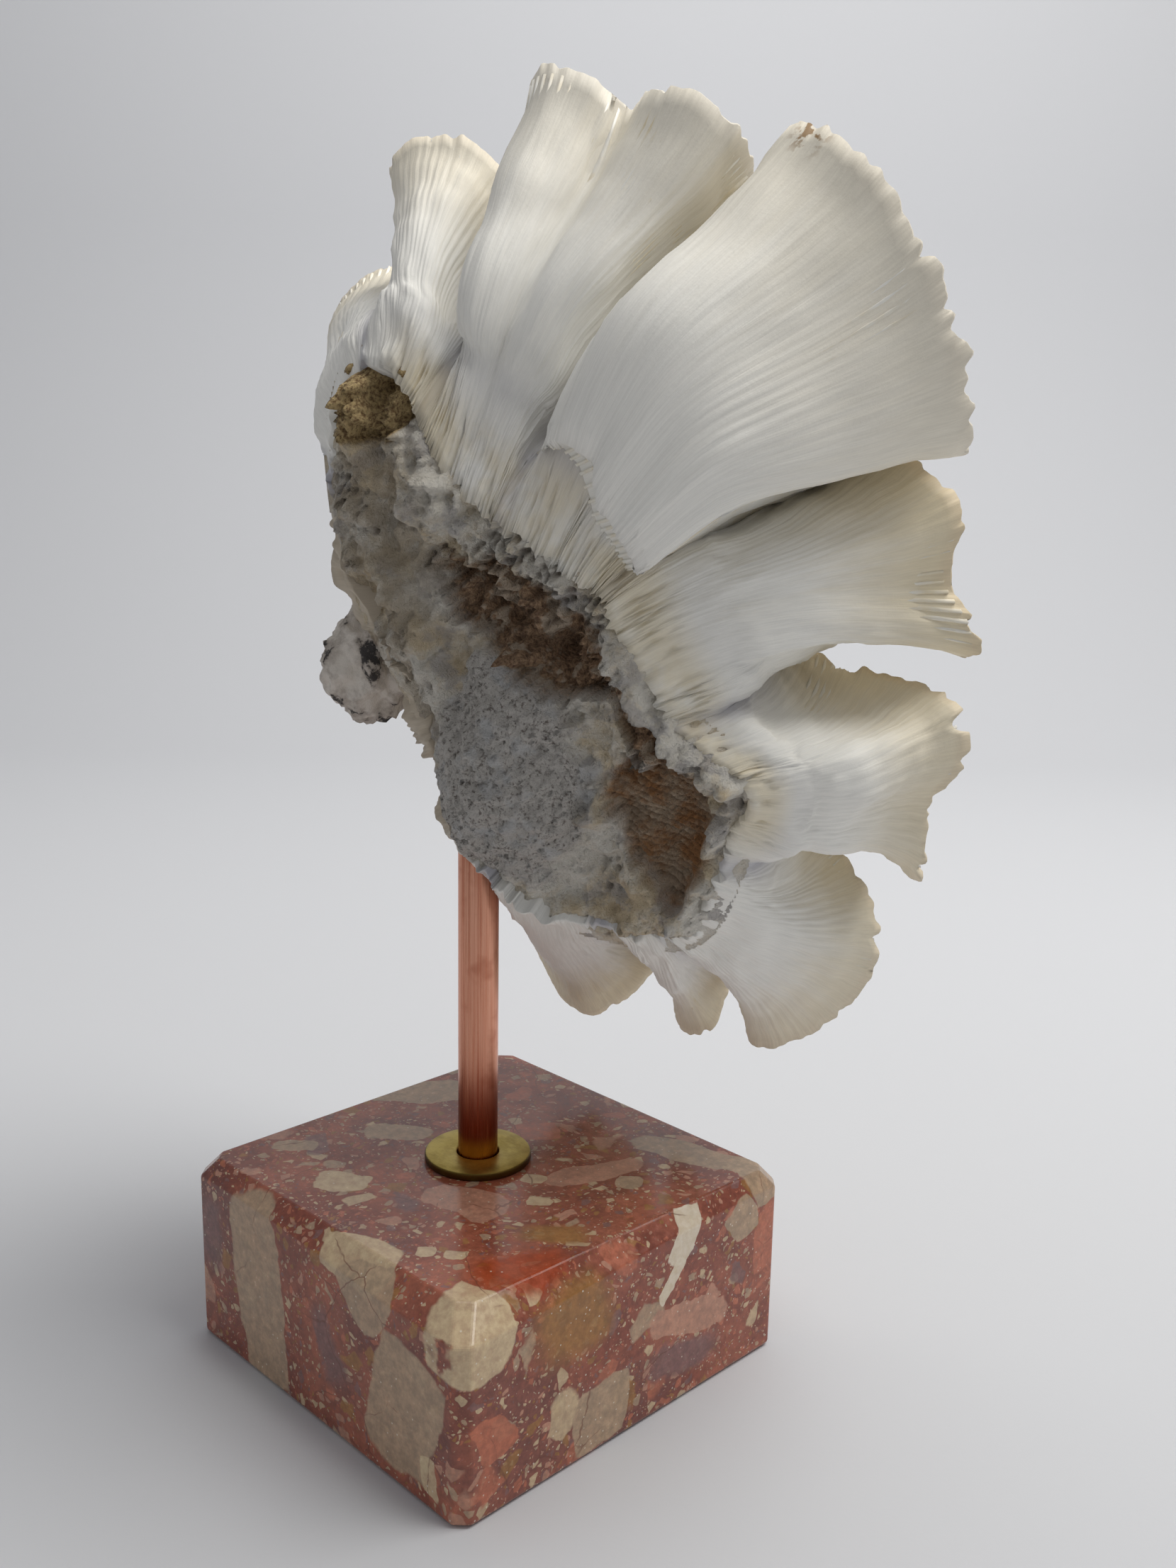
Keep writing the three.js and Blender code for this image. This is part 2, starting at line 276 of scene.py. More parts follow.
# %% [markdown]
# Finishing a piece. Each piece is one mesh object at the origin that rides on the stand's only body,
# stands for one of the imported solids, whose own mesh is hidden, and takes the finish it is given. Two
# helpers do this.

# %% Piece helper
def piece(name, points, faces, finish, smooth=True):
    mesh = bpy.data.meshes.new(name)
    mesh.from_pydata(np.asarray(points, float).tolist(), [], [tuple(int(i) for i in f) for f in faces])
    mesh.materials.append(finish)
    made = bpy.data.objects.new(name, mesh)
    bpy.context.scene.collection.objects.link(made)
    if smooth:
        mesh.shade_smooth()
    return made


def settle(made, node):
    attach(made, "root")
    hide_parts(node)
    made.data.calc_loop_triangles()
    print(made.name, len(made.data.loop_triangles), "triangles")


def apply_modifiers(made):
    """The modifiers' result as a plain mesh."""
    depsgraph = bpy.context.evaluated_depsgraph_get()
    plain = bpy.data.meshes.new_from_object(made.evaluated_get(depsgraph))
    made.modifiers.clear()
    made.data = plain


print("piece helper ready")

# %% [markdown]
# Breccia is broken stone in a red-brown cement. At each scale, cells of a Voronoi pattern that are
# picked at random become stones, and the rest stays cement: cell walls give the angular outlines. The
# largest stones are set one by one where the block shows them, because the eye compares those first. Two
# groups make the two kinds.

# %% Breccia groups
VECTOR, FLOAT = "NodeSocketVector", "NodeSocketFloat"


def broken_stones():
    """Stones picked from Voronoi cells: their mask, and one random number for each stone."""
    tree, given, out = shader_group(
        "broken_stones",
        [("Vector", VECTOR, (0, 0, 0)), ("Scale", FLOAT, 0.1), ("Share", FLOAT, 0.4), ("Gap", FLOAT, 0.08)],
        [("Mask", FLOAT), ("Pick", FLOAT)])
    sized = {"Vector": given["Vector"], "Scale": given["Scale"], "Randomness": 1.0}
    edge = add(tree, "ShaderNodeTexVoronoi", sized, feature="DISTANCE_TO_EDGE").outputs["Distance"]
    cell = add(tree, "ShaderNodeTexVoronoi", sized, feature="F1")
    parts = add(tree, "ShaderNodeSeparateColor", {"Color": cell.outputs["Color"]}).outputs
    inset = maths(tree, "MULTIPLY_ADD", parts[2], 0.12, given["Gap"])
    inside = ramp(tree, maths(tree, "SUBTRACT", edge, inset), 0.0, 0.05)
    round_off = ramp(tree, cell.outputs["Distance"], 0.62, 0.5)
    picked = maths(tree, "LESS_THAN", parts[0], given["Share"])
    mask = times(tree, times(tree, inside, round_off), picked)
    tree.links.new(mask, out["Mask"])
    tree.links.new(parts[1], out["Pick"])
    return tree


def set_stone():
    """One large stone: a rounded block of given half sizes, turned, at a given place."""
    tree, given, out = shader_group(
        "set_stone",
        [("Vector", VECTOR, (0, 0, 0)), ("Centre", VECTOR, (0, 0, 0)), ("Half size", VECTOR, (9, 9, 9)),
         ("Turn", VECTOR, (0, 0, 0)), ("Solid to", FLOAT, 0.95)],
        [("Mask", FLOAT)])
    offset = vector_maths(tree, "SUBTRACT", given["Vector"], given["Centre"])
    turned = add(tree, "ShaderNodeVectorRotate", {"Vector": offset, "Rotation": given["Turn"]},
                 rotation_type="EULER_XYZ", invert=True).outputs[0]
    scaled = vector_maths(tree, "ABSOLUTE", vector_maths(tree, "DIVIDE", turned, given["Half size"]))
    axes = add(tree, "ShaderNodeSeparateXYZ", {0: scaled}).outputs
    widest = maths(tree, "MAXIMUM", maths(tree, "MAXIMUM", axes[0], axes[1]), axes[2])
    round_part = times(tree, vector_maths(tree, "LENGTH", scaled), 0.4)
    reach = maths(tree, "ADD", times(tree, widest, 0.6), round_part)
    tree.links.new(ramp(tree, reach, 1.02, given["Solid to"]), out["Mask"])
    return tree


BROKEN_STONES = broken_stones()
SET_STONE = set_stone()
print("breccia groups:", BROKEN_STONES.name, SET_STONE.name)

# %% [markdown]
# The breccia's recipe. The stones' colours are cream, pink, ochre and mauve-grey. Each layer is laid
# over the one before, from the smallest crumbs to the stones set by hand, and fine veins and white
# specks come last. The block is polished, so roughness is low with small dull spots, and there is no
# relief to feel.

# %% Breccia
CEMENT = tone(166, 98, 76)
CEMENT_DARK = tone(136, 74, 58)
CREAM = tone(208, 190, 156)
BEIGE = tone(182, 160, 134)
PINK = tone(192, 146, 124)
SALMON = tone(186, 112, 86)
OCHRE = tone(160, 116, 64)
MAUVE = tone(132, 98, 96)
RUST = tone(168, 70, 28)
WHITE = tone(228, 218, 200)
STONE_TONES = [CREAM, BEIGE, PINK, SALMON, OCHRE, MAUVE]

# Centre, half sizes along the block's axes and turn in degrees, all in the block's own millimetres.
SET_STONES = [
    ((12, -18, 49), (11, 6, 6), (0, 0, 20), PINK),
    ((22.5, 16, 49), (13, 4, 5), (0, 0, 73), PINK),
    ((-27.5, -8.5, 49), (8, 5, 5), (0, 0, 35), BEIGE),
    ((-16, -34, 49), (6.5, 4, 4), (0, 0, 38), CREAM),
    ((2, -29, 49), (5, 3.5, 4), (0, 0, 10), MAUVE),
    ((34, 41, 50), (18, 5, 6), (0, 0, 18), BEIGE),
    ((-4, 20, 49), (7, 4.5, 5), (0, 0, 48), SALMON),
    ((-45, 13, 50), (14, 7, 6), (0, 0, 48), BEIGE),
    ((15, 3, 49), (3, 2.6, 3), (0, 0, 30), CREAM),
    ((24, -4, 49), (3, 2, 3), (0, 0, 40), CREAM),
    ((24, -39, 49), (2.6, 2.2, 3), (0, 0, 40), CREAM),
    ((29.5, -34.5, 49), (3, 2, 3), (0, 0, 45), CREAM),
    ((-8.5, -21, 49), (3, 2, 3), (0, 0, 45), SALMON),
    ((13, -50, 47), (11, 7, 6), (0, 0, 20), CREAM),
    ((32, 18, 49), (4, 3, 3), (0, 0, 40), BEIGE),
    ((-40, -32, 49), (6, 3, 4), (0, 0, 45), BEIGE),
    ((45, -28, 50), (10, 13, 5), (0, 0, -30), RUST),
    ((38, -12, 50), (10, 6, 5), (0, 0, 40), OCHRE),
    ((50, -46, 43), (11, 9, 9), (0, 0, 8), CREAM),
    ((53, -20, 37), (6, 14, 12), (14, 0, 0), OCHRE),
    ((53, 17.5, 45), (5, 4, 10), (-30, 0, 0), WHITE),
    ((53, 18, 22), (6, 15, 4), (-14, 0, 0), PINK),
    ((53, 17, 12), (6, 15, 6), (-8, 0, 0), MAUVE),
    ((53, -10.5, 9), (6, 8.5, 8.5), (0, 0, 0), BEIGE),
    ((53, 37, 39.5), (5, 5, 5), (30, 0, 0), BEIGE),
    ((53, 48, 32), (6, 6, 10), (0, 0, 0), SALMON),
    ((53, 11.5, 33.5), (4, 2, 6), (-50, 0, 0), WHITE),
    ((53, -44, 19), (5, 5.5, 6), (20, 0, 0), SALMON),
    ((50, 48, 46), (8, 8, 5), (0, 0, 0), BEIGE),
    ((33, -53, 20), (13, 6, 17), (0, 12, 0), BEIGE),
    ((20, -53, 42), (8, 6, 9), (0, 45, 0), BEIGE),
    ((-24, -53, 24), (10, 7, 26), (0, -8, 0), BEIGE),
    ((6, -53, 22), (6, 5, 12), (0, -30, 0), MAUVE),
    ((-45, -53, 30), (7, 5, 12), (0, 0, 0), MAUVE),
    ((43, -53, 8), (3, 4, 5), (0, 0, 0), CREAM),
    ((-53, 10, 24), (6, 16, 13), (18, 0, 0), BEIGE),
    ((-53, -28, 30), (5, 8, 12), (-25, 0, 0), PINK),
    ((-53, 38, 16), (5, 7, 9), (20, 0, 0), OCHRE),
    ((-18, 53, 26), (15, 6, 11), (0, 24, 0), BEIGE),
    ((24, 53, 18), (9, 5, 12), (0, -20, 0), PINK),
    ((-42, 53, 36), (7, 5, 8), (0, 30, 0), CREAM),
]
# Layers of broken stones: cells per millimetre, share of cells that are stones, gap.
STONE_LAYERS = [
    (1.2, 0.30, 0.13), (0.62, 0.36, 0.11), (0.32, 0.34, 0.09), (0.16, 0.26, 0.08), (0.08, 0.10, 0.08)]
# Stones of these colours fade into the cement; the others have a crisp outline.
BLURRED = (OCHRE, MAUVE, RUST)
SOLID_TO_BLURRED, SOLID_TO_CRISP = 0.5, 0.95
WARPS = ((0.06, 8.0), (0.35, 1.6))
PURPLE, VEIN = tone(108, 72, 70), tone(110, 62, 48)
MOTTLE_DARK, MOTTLE_LIGHT = tone(110, 96, 90), tone(222, 206, 194)


def breccia():
    made, tree, shader = material("breccia_marble", IOR=1.5, Coat_Weight=0.0)
    place = millimetres(tree)
    warped = place
    for scale, far in WARPS:
        wander = vector_maths(tree, "SUBTRACT", noise(tree, place, scale, 1.0)["Color"], (0.5, 0.5, 0.5))
        warped = vector_maths(tree, "ADD", warped, vector_maths(tree, "MULTIPLY", wander, (far, far, far)))
    cloud = noise(tree, warped, 0.045, 4.0, 0.6)["Fac"]
    colour = blend(tree, ramp(tree, cloud, 0.38, 0.62), CEMENT_DARK, CEMENT)
    purple = ramp(tree, noise(tree, place, 0.028, 2.0)["Fac"], 0.52, 0.66)
    colour = blend(tree, times(tree, purple, 0.55), colour, PURPLE)
    for scale, share, gap in STONE_LAYERS:
        stones = use(tree, BROKEN_STONES, Vector=warped, Scale=scale, Share=share, Gap=gap)
        chosen = add(tree, "ShaderNodeValToRGB", {"Fac": stones["Pick"]})
        chosen.color_ramp.interpolation = "CONSTANT"
        elements = chosen.color_ramp.elements
        while len(elements) < len(STONE_TONES):
            elements.new(0.5)
        for i, (element, shade) in enumerate(zip(elements, STONE_TONES)):
            element.position = i / len(STONE_TONES)
            element.color = shade
        colour = blend(tree, times(tree, stones["Mask"], 0.8), colour, chosen.outputs["Color"])
    for centre, half, turn, shade in SET_STONES:
        solid_to = SOLID_TO_BLURRED if shade in BLURRED else SOLID_TO_CRISP
        mask = use(tree, SET_STONE, Vector=warped, Centre=centre, Half_size=half,
                   Turn=[math.radians(t) for t in turn], Solid_to=solid_to)["Mask"]
        colour = blend(tree, times(tree, mask, 0.9), colour, shade)
    mottle = noise(tree, place, 0.5, 5.0, 0.65)["Fac"]
    grain = blend(tree, ramp(tree, mottle, 0.3, 0.7), MOTTLE_DARK, MOTTLE_LIGHT)
    colour = blend(tree, 0.35, colour, grain, "OVERLAY")
    crack = add(tree, "ShaderNodeTexVoronoi", {"Vector": warped, "Scale": 0.05}, feature="DISTANCE_TO_EDGE")
    vein = ramp(tree, crack.outputs["Distance"], 0.012, 0.004)
    vein = times(tree, vein, ramp(tree, cloud, 0.5, 0.6))
    colour = blend(tree, times(tree, vein, 0.6), colour, VEIN)
    speck = add(tree, "ShaderNodeTexVoronoi", {"Vector": place, "Scale": 0.55}, feature="F1")
    chance = add(tree, "ShaderNodeSeparateColor", {"Color": speck.outputs["Color"]}).outputs[0]
    near = ramp(tree, speck.outputs["Distance"], 0.16, 0.08)
    glint = times(tree, near, maths(tree, "LESS_THAN", chance, 0.3))
    colour = blend(tree, times(tree, glint, 0.75), colour, WHITE)
    tree.links.new(colour, shader.inputs["Base Color"])
    tree.links.new(ramp(tree, mottle, 0.3, 0.8, 0.12, 0.3), shader.inputs["Roughness"])
    return made


BRECCIA = breccia()
print("breccia:", len(SET_STONES), "set stones,", len(BRECCIA.node_tree.nodes), "nodes")

# %% [markdown]
# The block is sawn and polished by hand: the bevel round the top is broad at the near corner and narrow
# at the far ones, and the upright edges are cut too. Rings of points from the foot to the top, and down
# into the drilled socket, make it one closed skin. A Bevel modifier then rounds every edge a little,
# which is what catches the light.

# %% Marble block
BLOCK_LOW, BLOCK_HIGH = (np.array(corner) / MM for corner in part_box("marble_base"))
TUBE_LOW, TUBE_HIGH = (np.array(corner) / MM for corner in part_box("copper_tube"))
TUBE_AXIS = (TUBE_LOW + TUBE_HIGH)[:2] / 2
TUBE_RADIUS = (TUBE_HIGH - TUBE_LOW)[0] / 2
FIT = 0.3
CORNER_CUT, FOOT_CUT, EDGE_ROUND = 3.0, 1.0, 0.5
ROUND_OVER_DEGREES = 18
SHOULDER_LEAST, SHOULDER_MOST = 2.0, 6.0
# Width of the top bevel at the four corners: near left, near, near right, far.
BEVEL_AT = {(-1, -1): 3.4, (1, -1): 5.8, (1, 1): 3.0, (-1, 1): 3.0}
SIDE_STEPS = 8


def block_ring(z, inset):
    """Points round the block at one height: each corner is cut, with its own inset."""
    half = (BLOCK_HIGH - BLOCK_LOW)[:2] / 2
    corners = []
    for sx, sy in ((-1, -1), (1, -1), (1, 1), (-1, 1)):
        reach = half - inset[(sx, sy)]
        first = np.array([sx * (reach[0] - CORNER_CUT), sy * reach[1]])
        second = np.array([sx * reach[0], sy * (reach[1] - CORNER_CUT)])
        corners += [first, second]
    order = [corners[1], corners[0], corners[2], corners[3], corners[5], corners[4], corners[6], corners[7]]
    points = []
    for a, b in zip(order, order[1:] + order[:1]):
        for step in range(SIDE_STEPS):
            points.append(a + (b - a) * step / SIDE_STEPS)
    return np.column_stack([np.array(points), np.broadcast_to(z, len(points))])


def block_mesh():
    flat = dict.fromkeys(BEVEL_AT, 0.0)
    foot = dict.fromkeys(BEVEL_AT, FOOT_CUT)
    top = block_ring(BLOCK_HIGH[2], BEVEL_AT)
    shoulder = block_ring(0.0, flat)
    low_edge = block_ring(0.0, BEVEL_AT)
    drop = np.linalg.norm((shoulder - low_edge)[:, :2], axis=1)
    shoulder[:, 2] = BLOCK_HIGH[2] - drop.clip(SHOULDER_LEAST, SHOULDER_MOST)
    angles = np.arctan2(top[:, 1] - TUBE_AXIS[1], top[:, 0] - TUBE_AXIS[0])
    bore = np.column_stack([TUBE_AXIS[0] + (TUBE_RADIUS + FIT) * np.cos(angles),
                            TUBE_AXIS[1] + (TUBE_RADIUS + FIT) * np.sin(angles)])
    bore_top = np.column_stack([bore, np.full(len(bore), BLOCK_HIGH[2])])
    bore_end = np.column_stack([bore, np.full(len(bore), TUBE_LOW[2] - FIT)])
    rings = [block_ring(0.0, foot), block_ring(FOOT_CUT, flat), shoulder, top, bore_top, bore_end]
    count = len(top)
    faces = [tuple(range(count))[::-1]]
    for r in range(len(rings) - 1):
        for i in range(count):
            j = (i + 1) % count
            faces.append((r * count + i, r * count + j, (r + 1) * count + j, (r + 1) * count + i))
    faces.append(tuple(range((len(rings) - 1) * count, len(rings) * count)))
    return np.vstack(rings) * MM, faces


block = piece("marble_block", *block_mesh(), BRECCIA, smooth=False)
rounding = block.modifiers.new("rounding", "BEVEL")
rounding.width, rounding.segments, rounding.limit_method = EDGE_ROUND * MM, 2, "ANGLE"
rounding.angle_limit = math.radians(ROUND_OVER_DEGREES)
apply_modifiers(block)
settle(block, "marble_base")

# %% [markdown]
# Copper and brass. The tube is drawn copper, so its scratches run along it, and the foot has gone
# darker and redder. The washer is turned brass with a satin, slightly green face and a dark rim. Both
# are lathed: a profile with rounded corners goes once round the axis.

# %% Metals
def lathe(profile, sides):
    turns = np.arange(sides) * 2 * math.pi / sides
    across, along = np.cos(turns), np.sin(turns)
    points = [np.column_stack([TUBE_AXIS[0] + r * across, TUBE_AXIS[1] + r * along, np.full(sides, z)])
              for r, z in profile]
    faces = []
    for row in range(len(profile)):
        after = (row + 1) % len(profile)
        for i in range(sides):
            j = (i + 1) % sides
            faces.append((row * sides + i, row * sides + j, after * sides + j, after * sides + i))
    return np.vstack(points) * MM, faces


def ring_profile(inner, outer, low, high, rounded):
    """A ring's section, its corners rounded with short arcs, from the inner foot outwards."""
    section = []
    for r, z, start in ((inner + rounded, low + rounded, 180), (outer - rounded, low + rounded, 270),
                        (outer - rounded, high - rounded, 0), (inner + rounded, high - rounded, 90)):
        for turn in np.radians(start + np.array([0, 30, 60, 90])):
            section.append((r + rounded * math.cos(turn), z + rounded * math.sin(turn)))
    return section


def drawn_copper():
    made, tree, shader = material("drawn_copper", Metallic=1.0)
    place = millimetres(tree)
    streak = noise(tree, vector_maths(tree, "MULTIPLY", place, (2.2, 2.2, 0.03)), 1.0, 4.0, 0.6)["Fac"]
    patch = noise(tree, place, 0.12, 3.0)["Fac"]
    height = add(tree, "ShaderNodeSeparateXYZ", {0: place}).outputs[2]
    worn = blend(tree, ramp(tree, streak, 0.3, 0.7), tone(196, 128, 102), tone(232, 172, 145))
    worn = blend(tree, times(tree, ramp(tree, patch, 0.5, 0.7), 0.5), worn, tone(170, 96, 70))
    foot = times(tree, ramp(tree, height, 78, 58), ramp(tree, streak, 0.25, 0.6, 0.6, 1.0))
    worn = blend(tree, foot, worn, tone(138, 62, 38))
    worn = blend(tree, ramp(tree, height, 57, 53), worn, tone(196, 128, 60))
    scratch = noise(tree, vector_maths(tree, "MULTIPLY", place, (1.2, 1.2, 0.25)), 1.4, 6.0, 0.7)["Fac"]
    bright = times(tree, ramp(tree, scratch, 0.62, 0.7), ramp(tree, height, 95, 118))
    worn = blend(tree, times(tree, bright, 0.5), worn, tone(245, 205, 185))
    tree.links.new(worn, shader.inputs["Base Color"])
    tree.links.new(ramp(tree, streak, 0.3, 0.75, 0.24, 0.42), shader.inputs["Roughness"])
    tree.links.new(bump(tree, streak, 0.25, 0.08 * MM), shader.inputs["Normal"])
    return made


def satin_brass():
    made, tree, shader = material("satin_brass", Metallic=1.0)
    place = millimetres(tree)
    stain = noise(tree, place, 0.22, 4.0, 0.6)["Fac"]
    grain = noise(tree, vector_maths(tree, "MULTIPLY", place, (0.25, 3.0, 1.0)), 1.2, 3.0)["Fac"]
    colour = blend(tree, ramp(tree, stain, 0.35, 0.7), tone(190, 168, 92), tone(158, 136, 66))
    from_axis = vector_maths(tree, "SUBTRACT", place, (TUBE_AXIS[0], TUBE_AXIS[1], 0.0))
    radius = vector_maths(tree, "LENGTH", vector_maths(tree, "MULTIPLY", from_axis, (1, 1, 0)))
    colour = blend(tree, ramp(tree, radius, 13.0, 13.45), colour, tone(92, 70, 34))
    tree.links.new(colour, shader.inputs["Base Color"])
    tree.links.new(ramp(tree, grain, 0.2, 0.8, 0.3, 0.5), shader.inputs["Roughness"])
    tree.links.new(bump(tree, grain, 0.12, 0.05 * MM), shader.inputs["Normal"])
    return made


METAL_SIDES = 96
WASHER_LOW, WASHER_HIGH = (np.array(corner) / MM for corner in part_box("brass_washer"))
WASHER_RADIUS = (WASHER_HIGH - WASHER_LOW)[0] / 2
TUBE_WALL = 1.0
TUBE_ROUND, WASHER_ROUND = 0.25, 0.45
tube_section = ring_profile(TUBE_RADIUS - TUBE_WALL, TUBE_RADIUS, TUBE_LOW[2], TUBE_HIGH[2], TUBE_ROUND)
washer_section = ring_profile(TUBE_RADIUS + FIT, WASHER_RADIUS, WASHER_LOW[2], WASHER_HIGH[2], WASHER_ROUND)
tube = piece("copper_stem", *lathe(tube_section, METAL_SIDES), drawn_copper())
settle(tube, "copper_tube")
washer = piece("brass_collar", *lathe(washer_section, METAL_SIDES), satin_brass())
settle(washer, "brass_washer")

# %% [markdown]
# Growth and grain as numbers. The coral's skin is computed, so it needs noise that a whole array of
# places can take at once: a smooth one for swellings and ragged edges, and a cellular one for pores.

# %% Noise for arrays
PRIMES = (374761393, 668265263, 974634777, 1274126177)
WORD, HALF_WORD = 0xFFFFFFFF, 0xFFFF


def scatter(column, row, seed):
    """A random number from 0 to 1 for each cell of a square grid."""
    mixed = column.astype(np.int64) * PRIMES[0] + row.astype(np.int64) * PRIMES[1] + seed * PRIMES[2]
    mixed &= WORD
    mixed = ((mixed ^ (mixed >> 13)) * PRIMES[3]) & WORD
    return ((mixed ^ (mixed >> 16)) & HALF_WORD) / HALF_WORD


def swell_noise(x, y, seed):
    """Smooth noise from -1 to 1, with one hill or hollow to each unit."""
    i, j = np.floor(x), np.floor(y)
    f, g = x - i, y - j
    f, g = f * f * (3 - 2 * f), g * g * (3 - 2 * g)
    low = scatter(i, j, seed) * (1 - f) + scatter(i + 1, j, seed) * f
    high = scatter(i, j + 1, seed) * (1 - f) + scatter(i + 1, j + 1, seed) * f
    return 2 * (low * (1 - g) + high * g) - 1


def rough_noise(x, y, seed, octaves=4):
    total, size = 0.0, 1.0
    for octave in range(octaves):
        total = total + size * swell_noise(x * 2**octave, y * 2**octave, seed + octave)
        size *= 0.5
    return total / 2


def rough(x, z, size, seed):
    """Rough noise whose hills are about size millimetres wide."""
    return rough_noise(x / size, z / size, seed)


def pore_noise(x, y, seed):
    """Distance to the nearest pore, with one pore to each unit cell, and that pore's random number."""
    i, j = np.floor(x), np.floor(y)
    best = np.full(np.shape(x), 9.0)
    number = np.zeros(np.shape(x))
    for di in (-1, 0, 1):
        for dj in (-1, 0, 1):
            px = i + di + 0.15 + 0.7 * scatter(i + di, j + dj, seed)
            py = j + dj + 0.15 + 0.7 * scatter(i + di, j + dj, seed + 1)
            far = np.hypot(x - px, y - py)
            nearer = far < best
            best = np.where(nearer, far, best)
            number = np.where(nearer, scatter(i + di, j + dj, seed + 2), number)
    return best, number


def ease(value, low, high):
    share = np.clip((value - low) / (high - low), 0, 1)
    return share * share * (3 - 2 * share)


print("noise ready:", float(swell_noise(np.array([0.5]), np.array([0.5]), 1)[0]))

# %% [markdown]
# The coral's plan. It grew away from a broken base as one ruffled wall: fourteen lobes, each rising
# from a stretch of the base's edge and ending in a stretch of the rim. The numbers are the solid's own,
# except that the largest lobe bulges more and the first one ends higher, as the photo shows. They are
# in the coral's own frame: x to the right and z up as seen from behind, y along the growth.

# %% Coral plan
CORAL_ORIGIN = np.array([27.0, -9.0, 179.0])
HEADING, RISE = np.radians([18.0, 10.0])
ACROSS = np.array([math.cos(HEADING), math.sin(HEADING), 0.0])
GROWTH = np.array([-math.sin(HEADING) * math.cos(RISE), math.cos(HEADING) * math.cos(RISE), math.sin(RISE)])
CORAL_AXES = np.stack([ACROSS, GROWTH, np.cross(ACROSS, GROWTH)])
BASE_CENTRE = np.array([-6.0, 4.0, -4.0])
VALLEY = np.array([[-28.0, 24.0, 40.0], [10.0, 26.0, -56.0]])
BASE_EDGE = np.array([
    [-47, 8, 61], [-35, 6, 63], [-23, 3, 43], [-12, 2, 33], [4, 1, 24], [16, 1, 17], [21, 1, 5],
    [31, 2, -12], [46, 4, -25], [41, 6, -39], [28, 8, -64], [5, 4, -64], [-12, -3, -56],
    [-24, -3, -40], [-31, 2, -20], [-48, 6, 6], [-55, 8, 40]], float)
# For each lobe: its stretch of the base edge, how far it runs outwards first, how far its back bulges,
# how much it narrows below the rim, its lean, how deep the fold before it is, how ragged its rim is in mm,
# how warm its colour is, and its rim, which starts at that fold.
LOBES = [
    ((15.9, 17.2), 16, 0, 0.3, (0, 0, 0), 1, 0.8, 0.45,
     [(-66, 80, 50), (-97, 70, 54), (-99, 72, 70), (-90, 76, 80), (-72, 82, 82)]),
    ((17.4, 18.4), 22, 4, 0.6, (4, 0, 0), 1, 0.9, 0.4,
     [(-58, 82, 68), (-68, 74, 88), (-71, 66, 105), (-58, 62, 112), (-40, 60, 108), (-31, 64, 92)]),
    ((18.6, 19.3), 34, 8, 0.3, (0, 0, 0), 1, 1.0, 0.2,
     [(-24, 76, 66), (-26, 68, 98), (-24, 56, 121), (-14, 51, 123), (-6, 54, 119)]),
    ((19.4, 20.1), 36, 8, 0.2, (0, 0, 0), 0.2, 1.2, 0.25,
     [(-1, 60, 114), (10, 50, 117), (21, 45, 114), (31, 47, 106), (28, 62, 94)]),
    ((20.2, 21.1), 26, 24, 0, (6, 0, 14), 1, 2.2, 0.3,
     [(10, 74, 60), (32, 62, 92), (43, 45, 107), (58, 37, 100)]),
    ((21.2, 21.9), 26, 24, 0, (0, 0, 4), 0, 3.0, 0.3,
     [(75, 33, 81), (81, 34, 64), (82, 44, 42), (66, 65, 42)]),
    ((22, 23.8), 28, 3, 0.5, (0, 0, 5), 1, 1.3, 0.8,
     [(34, 74, 32), (54, 60, 38), (68, 52, 37), (80, 46, 27), (78, 46, 12), (84, 47, 1), (83, 50, -6),
      (64, 68, -6)]),
    ((24, 26), 20, 3, 0.4, (0, 0, 0), 1, 1.3, 0.65,
     [(32, 72, -8), (46, 60, -12), (58, 54, -13), (82, 40, -15), (84, 36, -26), (78, 36, -36), (74, 42, -57),
      (57, 62, -56)]),
    ((26.2, 27.1), 12, 0, 0.4, (0, 0, 0), 1, 1.4, 0.6,
     [(32, 72, -50), (49, 58, -60), (62, 46, -71), (63, 44, -82), (58, 44, -93), (47, 46, -106),
      (29, 48, -115)]),
    ((27.2, 27.6), 12, 0, 0.4, (0, 0, 0), 0.5, 1.2, 0.75,
     [(18, 62, -104), (13, 54, -118), (1, 60, -123), (-5, 75, -108)]),
    ((27.8, 29.1), 10, 0, 0.4, (0, 0, 0), 1, 1.5, 1.0,
     [(-8, 80, -84), (-12, 72, -112), (-22, 65, -123), (-31, 62, -127), (-43, 64, -117), (-58, 78, -98)]),
    ((29.3, 30.4), 8, 0, 0.3, (0, 0, 0), 1, 1.5, 0.9,
     [(-34, 80, -68), (-46, 76, -80), (-54, 72, -76), (-60, 72, -64), (-60, 76, -52)]),
    ((30.6, 31.6), 12, 0, 0.3, (0, 0, 0), 1, 1.5, 0.8,
     [(-46, 80, -38), (-72, 72, -34), (-82, 70, -24), (-87, 70, -10), (-82, 76, 2)]),
    ((31.7, 32.7), 14, 0, 0.3, (0, 0, 0), 1, 1.2, 0.6,
     [(-60, 80, 6), (-82, 74, 14), (-88, 70, 20), (-87, 72, 32), (-80, 78, 38)]),
]
ALONG_Y = np.array([0.0, 1.0, 0.0])


def to_world(points):
    """From the coral's own millimetres to the frame's metres."""
    return (np.asarray(points) @ CORAL_AXES + CORAL_ORIGIN) * MM


def unit(vectors):
    return vectors / (np.linalg.norm(vectors, axis=-1, keepdims=True) + 1e-9)


